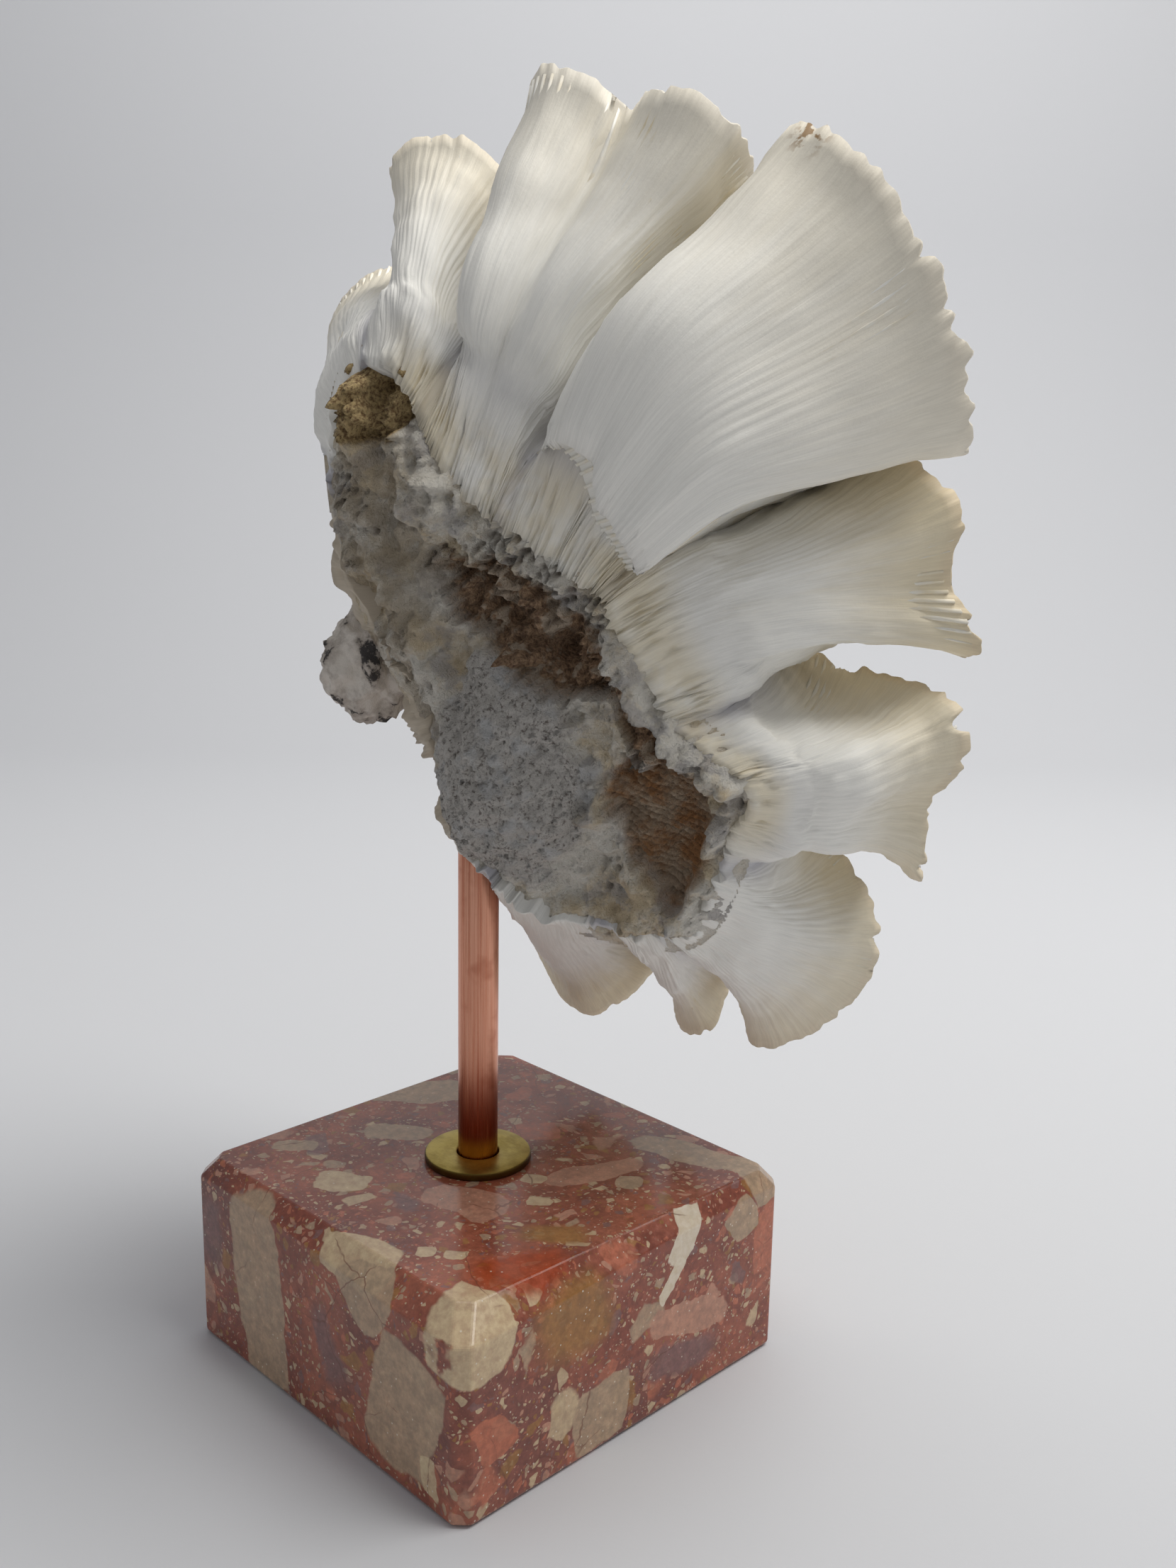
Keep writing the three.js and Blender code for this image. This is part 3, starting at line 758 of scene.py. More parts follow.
def round_trip(points, at):
    """A smooth closed curve through the points, at places counted in points."""
    points = np.asarray(points, float)
    count = len(points)
    i = np.floor(at).astype(int) % count
    f = (at - np.floor(at))[..., None]
    p0, p1, p2, p3 = points[i - 1], points[i], points[(i + 1) % count], points[(i + 2) % count]
    spans = ((p0, p1), (p1, p2), (p2, p3))
    d0, d1, d2 = (np.linalg.norm(b - a, axis=-1, keepdims=True) ** 0.5 + 1e-6 for a, b in spans)
    leave = ((p1 - p0) / d0 - (p2 - p0) / (d0 + d1) + (p2 - p1) / d1) * d1
    arrive = ((p2 - p1) / d1 - (p3 - p1) / (d1 + d2) + (p3 - p2) / d2) * d1
    square = (3 * (p2 - p1) - 2 * leave - arrive) * f**2
    cube = (2 * (p1 - p2) + leave + arrive) * f**3
    return p1 + leave * f + square + cube


def eased_round(values, at):
    """Values given at the rim points, eased from each to the next."""
    values = np.asarray(values, float)
    i = np.floor(at).astype(int)
    f = at - i
    f = f * f * (3 - 2 * f)
    if values.ndim > 1:
        f = f[:, None]
    return values[i % len(values)] * (1 - f) + values[(i + 1) % len(values)] * f


print("coral plan:", len(LOBES), "lobes")

# %% [markdown]
# Growth lines. Each one leaves the base edge, runs out along the skirt, turns up and ends at the rim: a
# cubic Bezier curve between those four. Lines are spaced evenly along the rim, so a ridge that follows
# a line fans out as the real ribs do.

# %% Growth lines
COLUMNS = 2200
SWELL_FROM, SWELL_FULL, FOLD_DEPTH, FOLD_FOOT = 0.24, 0.46, 10.0, 4.0
SAG, SAG_AT, SAG_SPAN = 0.62, 0.41, 0.1
HIGH_AT, HIGH_SWAY, CURVE_STRETCH = 0.6, 0.35, 1.15
AXIS_LIFT, CUP_LIFT = 14.0, 10.0


def growth_lines():
    placed = ("rim", "place", "axis_rim", "axis_root")
    eased = ("skirt", "swell", "neck", "sway", "fold", "ragged", "warm")
    keys = placed + eased
    rows = {key: [] for key in keys}
    for root, skirt, swell, neck, sway, fold, ragged, warm, rim in LOBES:
        rim = np.array(rim, float)
        middle = rim[1:].mean(axis=0)
        for i, point in enumerate(rim):
            own = 1.0 if i else 1.0 - fold
            here = (point, np.interp(i, [0, len(rim) - 1], root), middle, sum(root) / 2,
                    skirt, swell * own, neck * own, np.array(sway) * own, 1 - own, ragged, warm)
            for key, value in zip(keys, here):
                rows[key].append(value)
    given = {key: np.array(values, float) for key, values in rows.items()}
    count = len(given["rim"])
    fine = np.linspace(0, count, count * 60, endpoint=False)
    path = round_trip(given["rim"], fine)
    steps = np.linalg.norm(np.roll(path, -1, axis=0) - path, axis=1)
    length = np.concatenate([[0], np.cumsum(steps)])
    at = np.interp((np.arange(COLUMNS) + 0.5) / COLUMNS * length[-1], length, np.append(fine, count))
    places = np.append(given["place"], given["place"][0] + len(BASE_EDGE))
    place = np.interp(at, np.arange(count + 1), places)
    lines = {key: eased_round(given[key], at) for key in eased}
    # Eased as squares, so that a bulge rises steeply from its fold.
    lines["swell"] = np.sqrt(eased_round(given["swell"] ** 2, at))
    lines["root"] = round_trip(BASE_EDGE, place)
    lines["rim"] = round_trip(given["rim"], at)
    lines["axis_rim"] = eased_round(given["axis_rim"], at)
    lines["axis_root"] = eased_round(round_trip(BASE_EDGE, given["axis_root"]), at)
    along = round_trip(BASE_EDGE, place + 0.15) - round_trip(BASE_EDGE, place - 0.15)
    beside = unit(np.stack([-along[:, 2], 0 * along[:, 0], along[:, 0]], axis=1))
    radial = unit((lines["root"] - BASE_CENTRE) * [1, 0, 1])
    out = unit(beside + radial)
    skirt, fold, sway = lines["skirt"][:, None], lines["fold"][:, None], lines["sway"]
    lines["low"] = lines["root"] + out * skirt + ALONG_Y * (skirt / 4 + FOLD_FOOT * fold) + sway
    lines["out"] = out
    high = lines["root"] + HIGH_AT * (lines["rim"] - lines["root"])
    axis = lines["axis_root"] + HIGH_AT * (lines["axis_rim"] - lines["axis_root"])
    narrowed = high + lines["neck"][:, None] * (axis - high)
    lines["high"] = narrowed + ALONG_Y * FOLD_DEPTH * fold + HIGH_SWAY * sway
    lines["travel"] = (np.arange(COLUMNS) + 0.5) / COLUMNS * length[-1]
    lines["place"] = place
    lines["length"] = np.linalg.norm(lines["rim"] - lines["root"], axis=1) * CURVE_STRETCH
    print("rim", round(length[-1]), "mm round, a line every", round(length[-1] / COLUMNS, 2), "mm")
    return lines


LINES = growth_lines()


def on_wall(height):
    """Points of the outer wall, for heights given as an array of rows by columns."""
    v = height[..., None]
    p = LINES["root"] * (1 - v) ** 3 + 3 * LINES["low"] * v * (1 - v) ** 2
    p = p + 3 * LINES["high"] * v**2 * (1 - v) + LINES["rim"] * v**3
    bulge = LINES["swell"] * ease(height, SWELL_FROM, SWELL_FULL) * ease(height, 1.0, SWELL_FULL)
    sag = SAG * LINES["swell"] * np.exp(-(((height - SAG_AT) / SAG_SPAN) ** 2))
    return p - ALONG_Y * bulge[..., None] - LINES["out"] * sag[..., None]


def inward(height, outer):
    """Which way the inner wall lies, and how much room there is."""
    v = height[..., None]
    axis = LINES["axis_root"] + (LINES["axis_rim"] - LINES["axis_root"]) * v + ALONG_Y * AXIS_LIFT * (1 - v)
    cup = np.stack([np.full(outer.shape[:-1], BASE_CENTRE[0]), outer[..., 1] + CUP_LIFT,
                    np.full(outer.shape[:-1], BASE_CENTRE[2])], axis=-1)
    fold = LINES["fold"][:, None]
    aim = axis + fold * (cup - axis) - outer
    return unit(aim), np.linalg.norm(aim, axis=-1)


# %% [markdown]
# The wall. Its outside carries fine ribs along the growth lines, broad growth bands near the rim and a
# ragged edge; its inside falls to the floor of the valleys. One grid of points runs from the hidden
# middle of the base, up the outside, over the rim and down to the line where the valleys meet, so the
# wall is a single closed skin.

# %% Coral wall
OUTER_ROWS, INNER_ROWS = 30, 8
FLOOR_AT, WALL_ROOT, WALL_RIM, RIM_CROWN = 0.4, 7.0, 1.3, 0.35
RIB_EVERY = 3.1  # mm at the rim
LEFT_SIDE = ease(LINES["place"], 29.4, 30.2) * ease(LINES["place"], 33.0, 32.6)
LEDGE = ease(LINES["place"], 17.6, 18.4) * ease(LINES["place"], 26.4, 25.4)
RIB_HEIGHT, FINE_RIB = 0.24, 0.07
BAND_HEIGHT, BAND_TURNS, FLAKE_HEIGHT, LUMP_HEIGHT = 0.22, 46, 0.3, 2.4
PIT_DEEP, WASTE_DEEP = 1.7, 5.0
FLOOR_SHARES, FLOOR_HEIGHT = (0.3, 0.6, 0.85, 1.0), 0.3
HIDDEN_FLOOR = [(0.9, 12.0), (0.5, 17.0), (0.08, 19.5)]
ROOT_LIP, ROOT_LIP_AT, ROOT_STRAY = 1.3, 0.1, 2.5


def wall_relief(height, travel):
    """How far ribs, bands, flakes and pores stand out from the wall, in mm."""
    run = height * LINES["length"]
    pore, number = pore_noise(travel / 6, run / 2.6, 27)
    pitted = np.maximum(LEDGE * ease(height, 0.2, 0.08), LEFT_SIDE * ease(height, 0.6, 0.25))
    pits = PIT_DEEP * pitted * ease(pore, 0.45, 0.1) * number
    waste = WASTE_DEEP * LEFT_SIDE * ease(height, 0.7, 0.3) * rough_noise(travel / 14, run / 9, 28)
    jitter = swell_noise(travel / 11, height * 2, 21) * 0.9
    rib = np.abs(np.sin(np.pi * (travel / RIB_EVERY + jitter)))
    fine = swell_noise(travel / 0.9, height * 5, 22)
    patch = ease(swell_noise(travel / 17, height * 5, 23), -0.6, 0.7)
    wave = height * BAND_TURNS + 3 * swell_noise(travel / 23, height * 3, 24)
    band = np.sin(wave) * ease(height, 0.5, 0.95)
    flake = ease(rough_noise(travel / 12, height * 7, 25), 0.1, 0.2)
    lump = rough_noise(travel / 30, height * 4, 26)
    ribs = RIB_HEIGHT * (rib - 0.6) * (0.35 + 0.65 * patch) * (0.5 + 0.7 * height) + FINE_RIB * fine
    flakes = FLAKE_HEIGHT * flake * ease(height, 0.9, 0.5)
    return ribs + BAND_HEIGHT * band + flakes + LUMP_HEIGHT * lump * ease(height, 0.0, 0.2) - pits - waste


def ragged_tip():
    """Where each growth line really ends, as a share of its height."""
    travel = LINES["travel"]
    tooth = rough_noise(travel / 9, 0 * travel, 31) + 0.7 * swell_noise(travel / 2.2, 0 * travel, 32)
    notch = ease(swell_noise(travel / 6, 0 * travel, 33), 0.45, 0.8)
    return 1 + LINES["ragged"] * (0.8 * tooth - 1.5 * notch) / LINES["length"]


def valley_floor(edge, share):
    """Points on the way from the foot of the inner wall to the line where the valleys meet."""
    run = VALLEY[1] - VALLEY[0]
    foot = VALLEY[0] + np.clip(((edge - VALLEY[0]) @ run) / (run @ run), 0, 1)[:, None] * run
    p = edge + (foot - edge) * share
    p[:, 1] = edge[:, 1] + (foot - edge)[:, 1] * math.sin(math.pi / 2 * share)
    return p


def coral_wall():
    tip = ragged_tip()
    shares = np.linspace(0, 1, OUTER_ROWS)
    height = shares[:, None] * tip
    outer = on_wall(height)
    across = np.roll(outer, -1, axis=1) - np.roll(outer, 1, axis=1)
    upward = np.gradient(outer, axis=0)
    normal = unit(np.cross(upward, across))
    aim, _ = inward(height, outer)
    normal *= np.where((normal * aim).sum(-1, keepdims=True) > 0, -1, 1)
    travel = np.broadcast_to(LINES["travel"], height.shape)
    outer = outer + normal * wall_relief(height, travel)[..., None]
    foot_share = ease(height, ROOT_LIP_AT, 0.0)[..., None]
    round_rim, level = LINES["travel"], 0 * LINES["travel"]
    stray = rough_noise(round_rim / 26, level, 34) + 0.5 * swell_noise(round_rim / 6, level, 35)
    outer = outer + foot_share * (LINES["out"] * (ROOT_STRAY * stray)[:, None] - ALONG_Y * ROOT_LIP)
    inner_height = np.linspace(1, FLOOR_AT, INNER_ROWS)[:, None] * np.ones(COLUMNS)
    inner_height[0] = tip
    plain = on_wall(inner_height)
    aim, room = inward(inner_height, plain)
    thick = WALL_ROOT + (WALL_RIM - WALL_ROOT) * np.sqrt(np.clip(inner_height, 0, 1))
    inner = plain + aim * np.minimum(thick, 0.45 * room)[..., None]
    crown = (outer[-1] + inner[0]) / 2 + unit(outer[-1] - outer[-2]) * RIM_CROWN
    edge = inner[-1]
    floor = [valley_floor(edge, share) for share in FLOOR_SHARES]
    hidden = []
    for share, depth in HIDDEN_FLOOR[::-1]:
        p = BASE_CENTRE + (LINES["root"] - BASE_CENTRE) * share
        p[:, 1] = BASE_CENTRE[1] + depth
        hidden.append(p)
    grid = np.concatenate([np.array(hidden), outer, crown[None], inner, np.array(floor)])
    below = np.zeros((len(hidden), COLUMNS))
    level_floor = np.full((len(floor), COLUMNS), FLOOR_HEIGHT)
    heights = np.concatenate([below, height, tip[None], inner_height, level_floor])
    inside = np.concatenate([np.zeros(len(hidden) + OUTER_ROWS), [0.5], np.ones(INNER_ROWS + len(floor))])
    return grid, heights, inside[:, None] + 0 * heights


def grid_faces(rows, columns):
    i = np.arange(columns)
    j = (i + 1) % columns
    band = np.stack([i, j, j + columns, i + columns], axis=1)
    return np.concatenate([band + r * columns for r in range(rows - 1)])


def attribute(mesh, name, values, kind="FLOAT"):
    made = mesh.attributes.new(name, kind, "POINT")
    field = "vector" if kind == "FLOAT_VECTOR" else "value"
    made.data.foreach_set(field, np.ascontiguousarray(values, np.float32).ravel())


WALL_GRID, WALL_HEIGHT_SHARE, WALL_INSIDE = coral_wall()
print("wall grid", WALL_GRID.shape[:2])

# %% [markdown]
# The broken base. It is a rough field seen almost straight on: a brown cavity, a grey granular crust
# over the tube's end, a rust-coloured hollow with thin leaves, and a cream ledge full of pores along
# the edge. A height for each point of a fine grid makes all of them, and the same masks later choose
# the colours.

# %% Broken base
BASE_STEP = 0.6
BASE_MARGIN, FIELD_MARGIN = 5.0, 7.0
BASE_THICK = 1.5
RING_POINTS = 340


def in_spot(x, z, at, size, turn, seed, ragged=0.5):
    """1 inside a turned ellipse with a ragged edge, 0 outside."""
    c, s = math.cos(math.radians(turn)), math.sin(math.radians(turn))
    a = ((x - at[0]) * c + (z - at[1]) * s) / size[0]
    b = ((z - at[1]) * c - (x - at[0]) * s) / size[1]
    wander = rough(x, z, 9, seed) + 0.35 * rough(x, z, 2.5, seed + 500)
    return ease(np.hypot(a, b) + ragged * wander, 1.08, 0.92)


def base_field():
    low = BASE_EDGE.min(axis=0) - FIELD_MARGIN
    high = BASE_EDGE.max(axis=0) + FIELD_MARGIN
    xs, zs = np.arange(low[0], high[0], BASE_STEP), np.arange(low[2], high[2], BASE_STEP)
    x, z = np.meshgrid(xs, zs)
    ring = round_trip(BASE_EDGE, np.linspace(0, len(BASE_EDGE), RING_POINTS, endpoint=False))
    flat = np.stack([x.ravel(), z.ravel()], axis=1)
    away = np.full(len(flat), 1e9)
    weight, level = np.full(len(flat), 1e-9), np.zeros(len(flat))
    crossings = np.zeros(len(flat), int)
    for a, b in zip(ring, np.roll(ring, -1, axis=0)):
        far = np.hypot(flat[:, 0] - a[0], flat[:, 1] - a[2])
        away = np.minimum(away, far)
        pull = 1 / (far + 1.5) ** 2
        weight += pull
        level += pull * a[1]
        spans = (a[2] > flat[:, 1]) != (b[2] > flat[:, 1])
        if abs(b[2] - a[2]) > 1e-9:
            side = flat[:, 0] < (b[0] - a[0]) * (flat[:, 1] - a[2]) / (b[2] - a[2]) + a[0]
            crossings += spans & side
    inside = crossings % 2 == 1
    signed = np.where(inside, -away, away).reshape(x.shape)
    return x, z, signed, (level / weight).reshape(x.shape)


BASE_X, BASE_Z, BASE_SIGNED, BASE_LEVEL = base_field()


def base_masks(x, z, signed):
    clear_of_edge = ease(signed, -2, -7)
    cavity = in_spot(x, z, (0, 5), (26, 10.5), -34, 41)
    cavity = np.maximum(cavity, in_spot(x, z, (24, -15), (12, 4.5), -52, 42)) * clear_of_edge
    crust = in_spot(x, z, (-10, -27), (20, 26), 8, 43, 0.3) * (1 - cavity)
    rust = in_spot(x, z, (27, -37), (11, 19), 24, 44, 0.4) * (1 - crust) * (1 - cavity) * clear_of_edge
    ochre = in_spot(x, z, (-40, 57), (13, 9), 10, 45)
    return {"cavity": cavity, "crust": crust, "rust": rust, "ochre": ochre}


BASE_MASKS = base_masks(BASE_X, BASE_Z, BASE_SIGNED)
LEAF_ACROSS, LEAF_EVERY = (0.45, 0.89), 1.7
leaf_run = (LEAF_ACROSS[0] * BASE_X + LEAF_ACROSS[1] * BASE_Z) / LEAF_EVERY
BASE_LEAF = np.sin(leaf_run * 2 * np.pi + 3 * rough(BASE_X, BASE_Z, 8, 55))
# Holes in the base: place, radius and depth.
HOLES = [
    ((6.4, -11.4), 2.3, 4.0), ((11.4, -6.0), 2.7, 4.0), ((2.5, 14.0), 3.0, 5.0), ((-38, 60), 3.4, 6.0),
    ((34, -55), 1.8, 4.0)]


def base_pores(x, z):
    """How deep into a pore each point is, from 0 to 1: honeycomb near the cavity, stray pits elsewhere."""
    pore, number = pore_noise(x / 1.9 + 0.35 * swell_noise(x / 5, z / 5, 59), z / 2.7, 60)
    honeycomb = ease(np.hypot((x - 2) / 30, (z - 17) / 15) + 0.3 * rough(x, z, 8, 62), 1.1, 0.6)
    stray = ease(rough(x, z, 10, 63), 0.0, 0.35) * (number > 0.35)
    return ease(pore, 0.5, 0.14) * np.maximum(honeycomb, stray * number)


BASE_PORES = base_pores(BASE_X, BASE_Z)


# How far each part of the base lies in or stands out, and how rough it is, in mm.
CAVITY_DEEP, CAVITY_LUMPS, CAVITY_CRUMBS = 4.5, 10, 8
DOME_AT, DOME_SIZE, DOME_HIGH = (-10, -29), (27, 33), 10
CRUST_LUMPS, CRUST_GRAIN, CRUST_HOLES = 4.5, 2.2, 0.9
RUST_DEEP, RUST_LEAVES, RUST_LUMPS = 4.5, 0.7, 6
OCHRE_CRUMBS = 8
LIP_IN, LIP_WIDE, LIP_HIGH = 3.5, 3.0, 3.2
RIDGE_IN, RIDGE_WIDE, RIDGE_HIGH = 11, 6.5, 5
PORE_DEEP, GROUND_LUMPS, GROUND_CRUMBS = 2.6, 7, 3.4
SKIN_UNDER, SKIN_SLOPE = 1.2, 0.45


def base_depth(x, z, signed, level, masks):
    cavity, crust, rust, ochre = (masks[key] for key in ("cavity", "crust", "rust", "ochre"))
    porous = (1 - cavity) * (1 - crust) * (1 - rust)
    crumbled = CAVITY_DEEP + CAVITY_LUMPS * rough(x, z, 9, 51) + CAVITY_CRUMBS * rough(x, z, 2.8, 52)
    depth = level + cavity * crumbled
    from_dome = np.hypot((x - DOME_AT[0]) / DOME_SIZE[0], (z - DOME_AT[1]) / DOME_SIZE[1])
    depth = depth - DOME_HIGH * ease(from_dome, 1.0, 0.1) * (1 - cavity)
    grain, number = pore_noise(x / 1.7, z / 1.7, 53)
    grainy = CRUST_LUMPS * rough(x, z, 10, 64) + CRUST_GRAIN * rough(x, z, 1.9, 54)
    depth = depth + crust * (grainy + CRUST_HOLES * ease(grain, 0.38, 0.15) * (number < 0.25))
    depth = depth + rust * (RUST_DEEP + RUST_LEAVES * BASE_LEAF + RUST_LUMPS * rough(x, z, 7, 56))
    depth = depth + ochre * OCHRE_CRUMBS * rough(x, z, 3.5, 57)
    lip = np.exp(-(((signed + LIP_IN) / LIP_WIDE) ** 2)) * ease(x + 0.6 * z, -30, 0)
    depth = depth - LIP_HIGH * lip * (1 + 2.4 * rough(x, z, 4, 58))
    ridge = np.exp(-(((signed + RIDGE_IN) / RIDGE_WIDE) ** 2)) * ease(x, -18, -34)
    depth = depth - RIDGE_HIGH * ridge * (1 + 2 * rough(x, z, 12, 65))
    ground = GROUND_LUMPS * rough(x, z, 11, 61) + GROUND_CRUMBS * rough(x, z, 2.6, 66)
    depth = depth + porous * (PORE_DEEP * BASE_PORES + ground)
    for (hx, hz), radius, deep in HOLES:
        far = np.hypot(x - hx, z - hz) + 0.5 * rough(x, z, 2, 67)
        depth = depth + deep * ease(far, radius, 0.55 * radius)
    inside = ease(signed, 4, -1)
    under_skin = level + SKIN_UNDER + SKIN_SLOPE * np.clip(signed, 0, None)
    return depth * inside + under_skin * (1 - inside)


BASE_DEPTH = base_depth(BASE_X, BASE_Z, BASE_SIGNED, BASE_LEVEL, BASE_MASKS)


def base_mesh():
    """The field's front and a back close behind it, joined round the edge."""
    rows, columns = BASE_X.shape
    keep = BASE_SIGNED < BASE_MARGIN
    corner = keep[:-1, :-1] & keep[1:, :-1] & keep[:-1, 1:] & keep[1:, 1:]
    number = np.arange(rows * columns).reshape(rows, columns)
    quads = np.stack([number[:-1, :-1], number[:-1, 1:], number[1:, 1:], number[1:, :-1]], axis=-1)[corner]
    used, quads = np.unique(quads, return_inverse=True)
    quads = quads.reshape(-1, 4)
    front = np.stack([BASE_X, BASE_DEPTH, BASE_Z], axis=-1).reshape(-1, 3)[used]
    back = front + ALONG_Y * BASE_THICK
    edges = np.concatenate([quads[:, [k, (k + 1) % 4]] for k in range(4)])
    seen = {}
    for a, b in edges.tolist():
        key = (min(a, b), max(a, b))
        seen[key] = None if key in seen else (a, b)
    count = len(used)
    side = [(b, a, a + count, b + count) for a, b in (pair for pair in seen.values() if pair)]
    faces = quads.tolist() + (quads[:, ::-1] + count).tolist() + side
    return np.concatenate([front, back]), faces, used


print("base field", BASE_X.shape, "depth", BASE_DEPTH.min().round(1), "to", BASE_DEPTH.max().round(1), "mm")

# %% [markdown]
# Coral finishes. Dead coral skeleton is chalk white and matt. Towards the thin rim it is cream; in the
# folds and under the bulges grey-lavender painted shade is laid over it. The finest ribs are too thin for
# the mesh: they follow the growth lines through an attribute that counts millimetres along the rim, and
# only shade the surface.

# %% Coral finishes
CHALK = tone(243, 241, 234)
CREAM_RIM = tone(228, 214, 182)
TAN_RIM = tone(190, 156, 118)
# Grey-lavender painted shade for the folds and the undersides of the bulges.
LAVENDER_SHADE = tone(176, 175, 184)
PORE_TAN = tone(176, 160, 136)
STAIN = tone(150, 118, 76)


def named(tree, name, output="Fac"):
    return add(tree, "ShaderNodeAttribute", attribute_name=name).outputs[output]


def rib_lines():
    """Fine ribs along the growth lines: a value for colour and one for relief."""
    tree, given, out = shader_group("rib_lines", [("Growth", VECTOR, (0, 0, 0)), ("Spacing", FLOAT, 1.0)],
                                    [("Ribs", FLOAT), ("Streaks", FLOAT)])
    pitch = add(tree, "ShaderNodeCombineXYZ", {0: given["Spacing"], 1: 14.0, 2: 1.0}).outputs[0]
    squeezed = vector_maths(tree, "DIVIDE", given["Growth"], pitch)
    tree.links.new(noise(tree, squeezed, 1.6, 3.0, 0.6)["Fac"], out["Ribs"])
    broad = vector_maths(tree, "MULTIPLY", given["Growth"], (0.22, 0.03, 1.0))
    tree.links.new(noise(tree, broad, 1.0, 4.0, 0.6)["Fac"], out["Streaks"])
    return tree


RIB_LINES = rib_lines()


def wall_finish():
    made, tree, shader = material("coral_wall_finish", Roughness=0.62)
    growth = named(tree, "growth", "Vector")
    ribs = use(tree, RIB_LINES, Growth=growth, Spacing=0.9)
    height, warm, groove_shade = named(tree, "height"), named(tree, "warm"), named(tree, "groove_shade")
    place = millimetres(tree)
    cloud = noise(tree, place, 0.045, 4.0, 0.6)["Fac"]
    uneven = maths(tree, "ADD", height, times(tree, ribs["Streaks"], 0.25))
    rimward = ramp(tree, uneven, 0.62, 1.12)
    colour = blend(tree, times(tree, rimward, maths(tree, "ADD", warm, 0.15)), CHALK, CREAM_RIM)
    tip = times(tree, ramp(tree, height, 0.95, 1.0), times(tree, warm, 0.3))
    colour = blend(tree, tip, colour, TAN_RIM)
    # Painted shade: grey-lavender laid into the lower folds and under each bulge.
    lilac_shade = times(tree, groove_shade, ramp(tree, cloud, 0.3, 0.6, 0.5, 1.0))
    colour = blend(tree, times(tree, lilac_shade, 0.85), colour, LAVENDER_SHADE)
    ledge = times(tree, named(tree, "ledge"), ramp(tree, cloud, 0.3, 0.55))
    colour = blend(tree, times(tree, ledge, 0.7), colour, CREAM_RIM)
    colour = blend(tree, times(tree, named(tree, "porous"), 0.85), colour, PORE_TAN)
    spots = ramp(tree, noise(tree, place, 0.4, 3.0)["Fac"], 0.48, 0.58)
    colour = blend(tree, times(tree, named(tree, "stain"), spots), colour, STAIN)
    shade = ramp(tree, ribs["Ribs"], 0.3, 0.7, 0.93, 1.02)
    shading = add(tree, "ShaderNodeCombineColor", {0: shade, 1: shade, 2: shade}).outputs[0]
    colour = blend(tree, 1.0, colour, shading, "MULTIPLY")
    tree.links.new(colour, shader.inputs["Base Color"])
    ribbed = bump(tree, ribs["Ribs"], 0.35, 0.25 * MM)
    grainy = noise(tree, place, 1.1, 4.0, 0.6)["Fac"]
    tree.links.new(bump(tree, grainy, 0.25, 0.2 * MM, ribbed), shader.inputs["Normal"])
    return made


# The base's colours: a dark and a light one where fine noise mixes two.
GROUND, GROUND_GREY = (tone(238, 233, 222), tone(222, 204, 172)), tone(176, 172, 172)
CRUST, CRUST_PALE = (tone(124, 115, 108), tone(206, 201, 194)), tone(206, 205, 203)
CAVITY, CAVITY_PALE = (tone(112, 84, 64), tone(200, 166, 132)), tone(206, 188, 166)
RUSTY, LEAF_SHADE = (tone(206, 184, 158), tone(184, 132, 84)), tone(110, 78, 54)
CRUMB, PIT_SHADE = (tone(120, 92, 58), tone(206, 180, 130)), tone(104, 86, 70)


def base_finish():
    made, tree, shader = material("coral_base_finish", Roughness=0.9)
    place = millimetres(tree)
    cloud = noise(tree, place, 0.07, 5.0, 0.65)["Fac"]
    drift = noise(tree, place, 0.11, 4.0, 0.6)["Color"]
    veil = add(tree, "ShaderNodeSeparateColor", {"Color": drift}).outputs
    fine = noise(tree, place, 0.9, 5.0, 0.7)["Fac"]
    colour = blend(tree, ramp(tree, cloud, 0.42, 0.66), GROUND[0], GROUND[1])
    colour = blend(tree, times(tree, ramp(tree, veil[0], 0.5, 0.62), 0.6), colour, GROUND_GREY)
    worn = times(tree, named(tree, "left"), ramp(tree, veil[1], 0.4, 0.6, 0.15, 0.75))
    colour = blend(tree, worn, colour, PORE_TAN)
    grey = blend(tree, ramp(tree, fine, 0.34, 0.5), CRUST[0], CRUST[1])
    grey = blend(tree, ramp(tree, veil[2], 0.5, 0.64), grey, CRUST_PALE)
    colour = blend(tree, named(tree, "crust"), colour, grey)
    brown = blend(tree, ramp(tree, fine, 0.3, 0.7), CAVITY[0], CAVITY[1])
    brown = blend(tree, ramp(tree, veil[0], 0.52, 0.6), brown, CAVITY_PALE)
    colour = blend(tree, named(tree, "cavity"), colour, brown)
    rusty = blend(tree, ramp(tree, cloud, 0.42, 0.6), RUSTY[0], RUSTY[1])
    # Painted shade: darker brown in the gaps between the thin leaves.
    rusty = blend(tree, times(tree, named(tree, "leaf_gap_shade"), 0.55), rusty, LEAF_SHADE)
    colour = blend(tree, named(tree, "rust"), colour, rusty)
    crumb = blend(tree, ramp(tree, fine, 0.35, 0.6), CRUMB[0], CRUMB[1])
    colour = blend(tree, named(tree, "ochre"), colour, crumb)
    # Painted shade: the pores darkened by how deep they go.
    colour = blend(tree, named(tree, "pit_shade"), colour, PIT_SHADE)
    tree.links.new(colour, shader.inputs["Base Color"])
    lumps = noise(tree, place, 0.35, 4.0, 0.65)["Fac"]
    lumpy = bump(tree, lumps, 0.8, 1.6 * MM)
    tree.links.new(bump(tree, fine, 1.0, 1.3 * MM, lumpy), shader.inputs["Normal"])
    return made


def septa_finish():
    made, tree, shader = material("coral_septa_finish", Roughness=0.75)
    cloud = noise(tree, millimetres(tree), 0.06, 4.0, 0.6)["Fac"]
    colour = blend(tree, ramp(tree, cloud, 0.35, 0.7), CHALK, CREAM_RIM)
    tree.links.new(colour, shader.inputs["Base Color"])
    return made


WALL_FINISH, BASE_FINISH, SEPTA_FINISH = wall_finish(), base_finish(), septa_finish()
print("coral finishes:", WALL_FINISH.name, BASE_FINISH.name, SEPTA_FINISH.name)
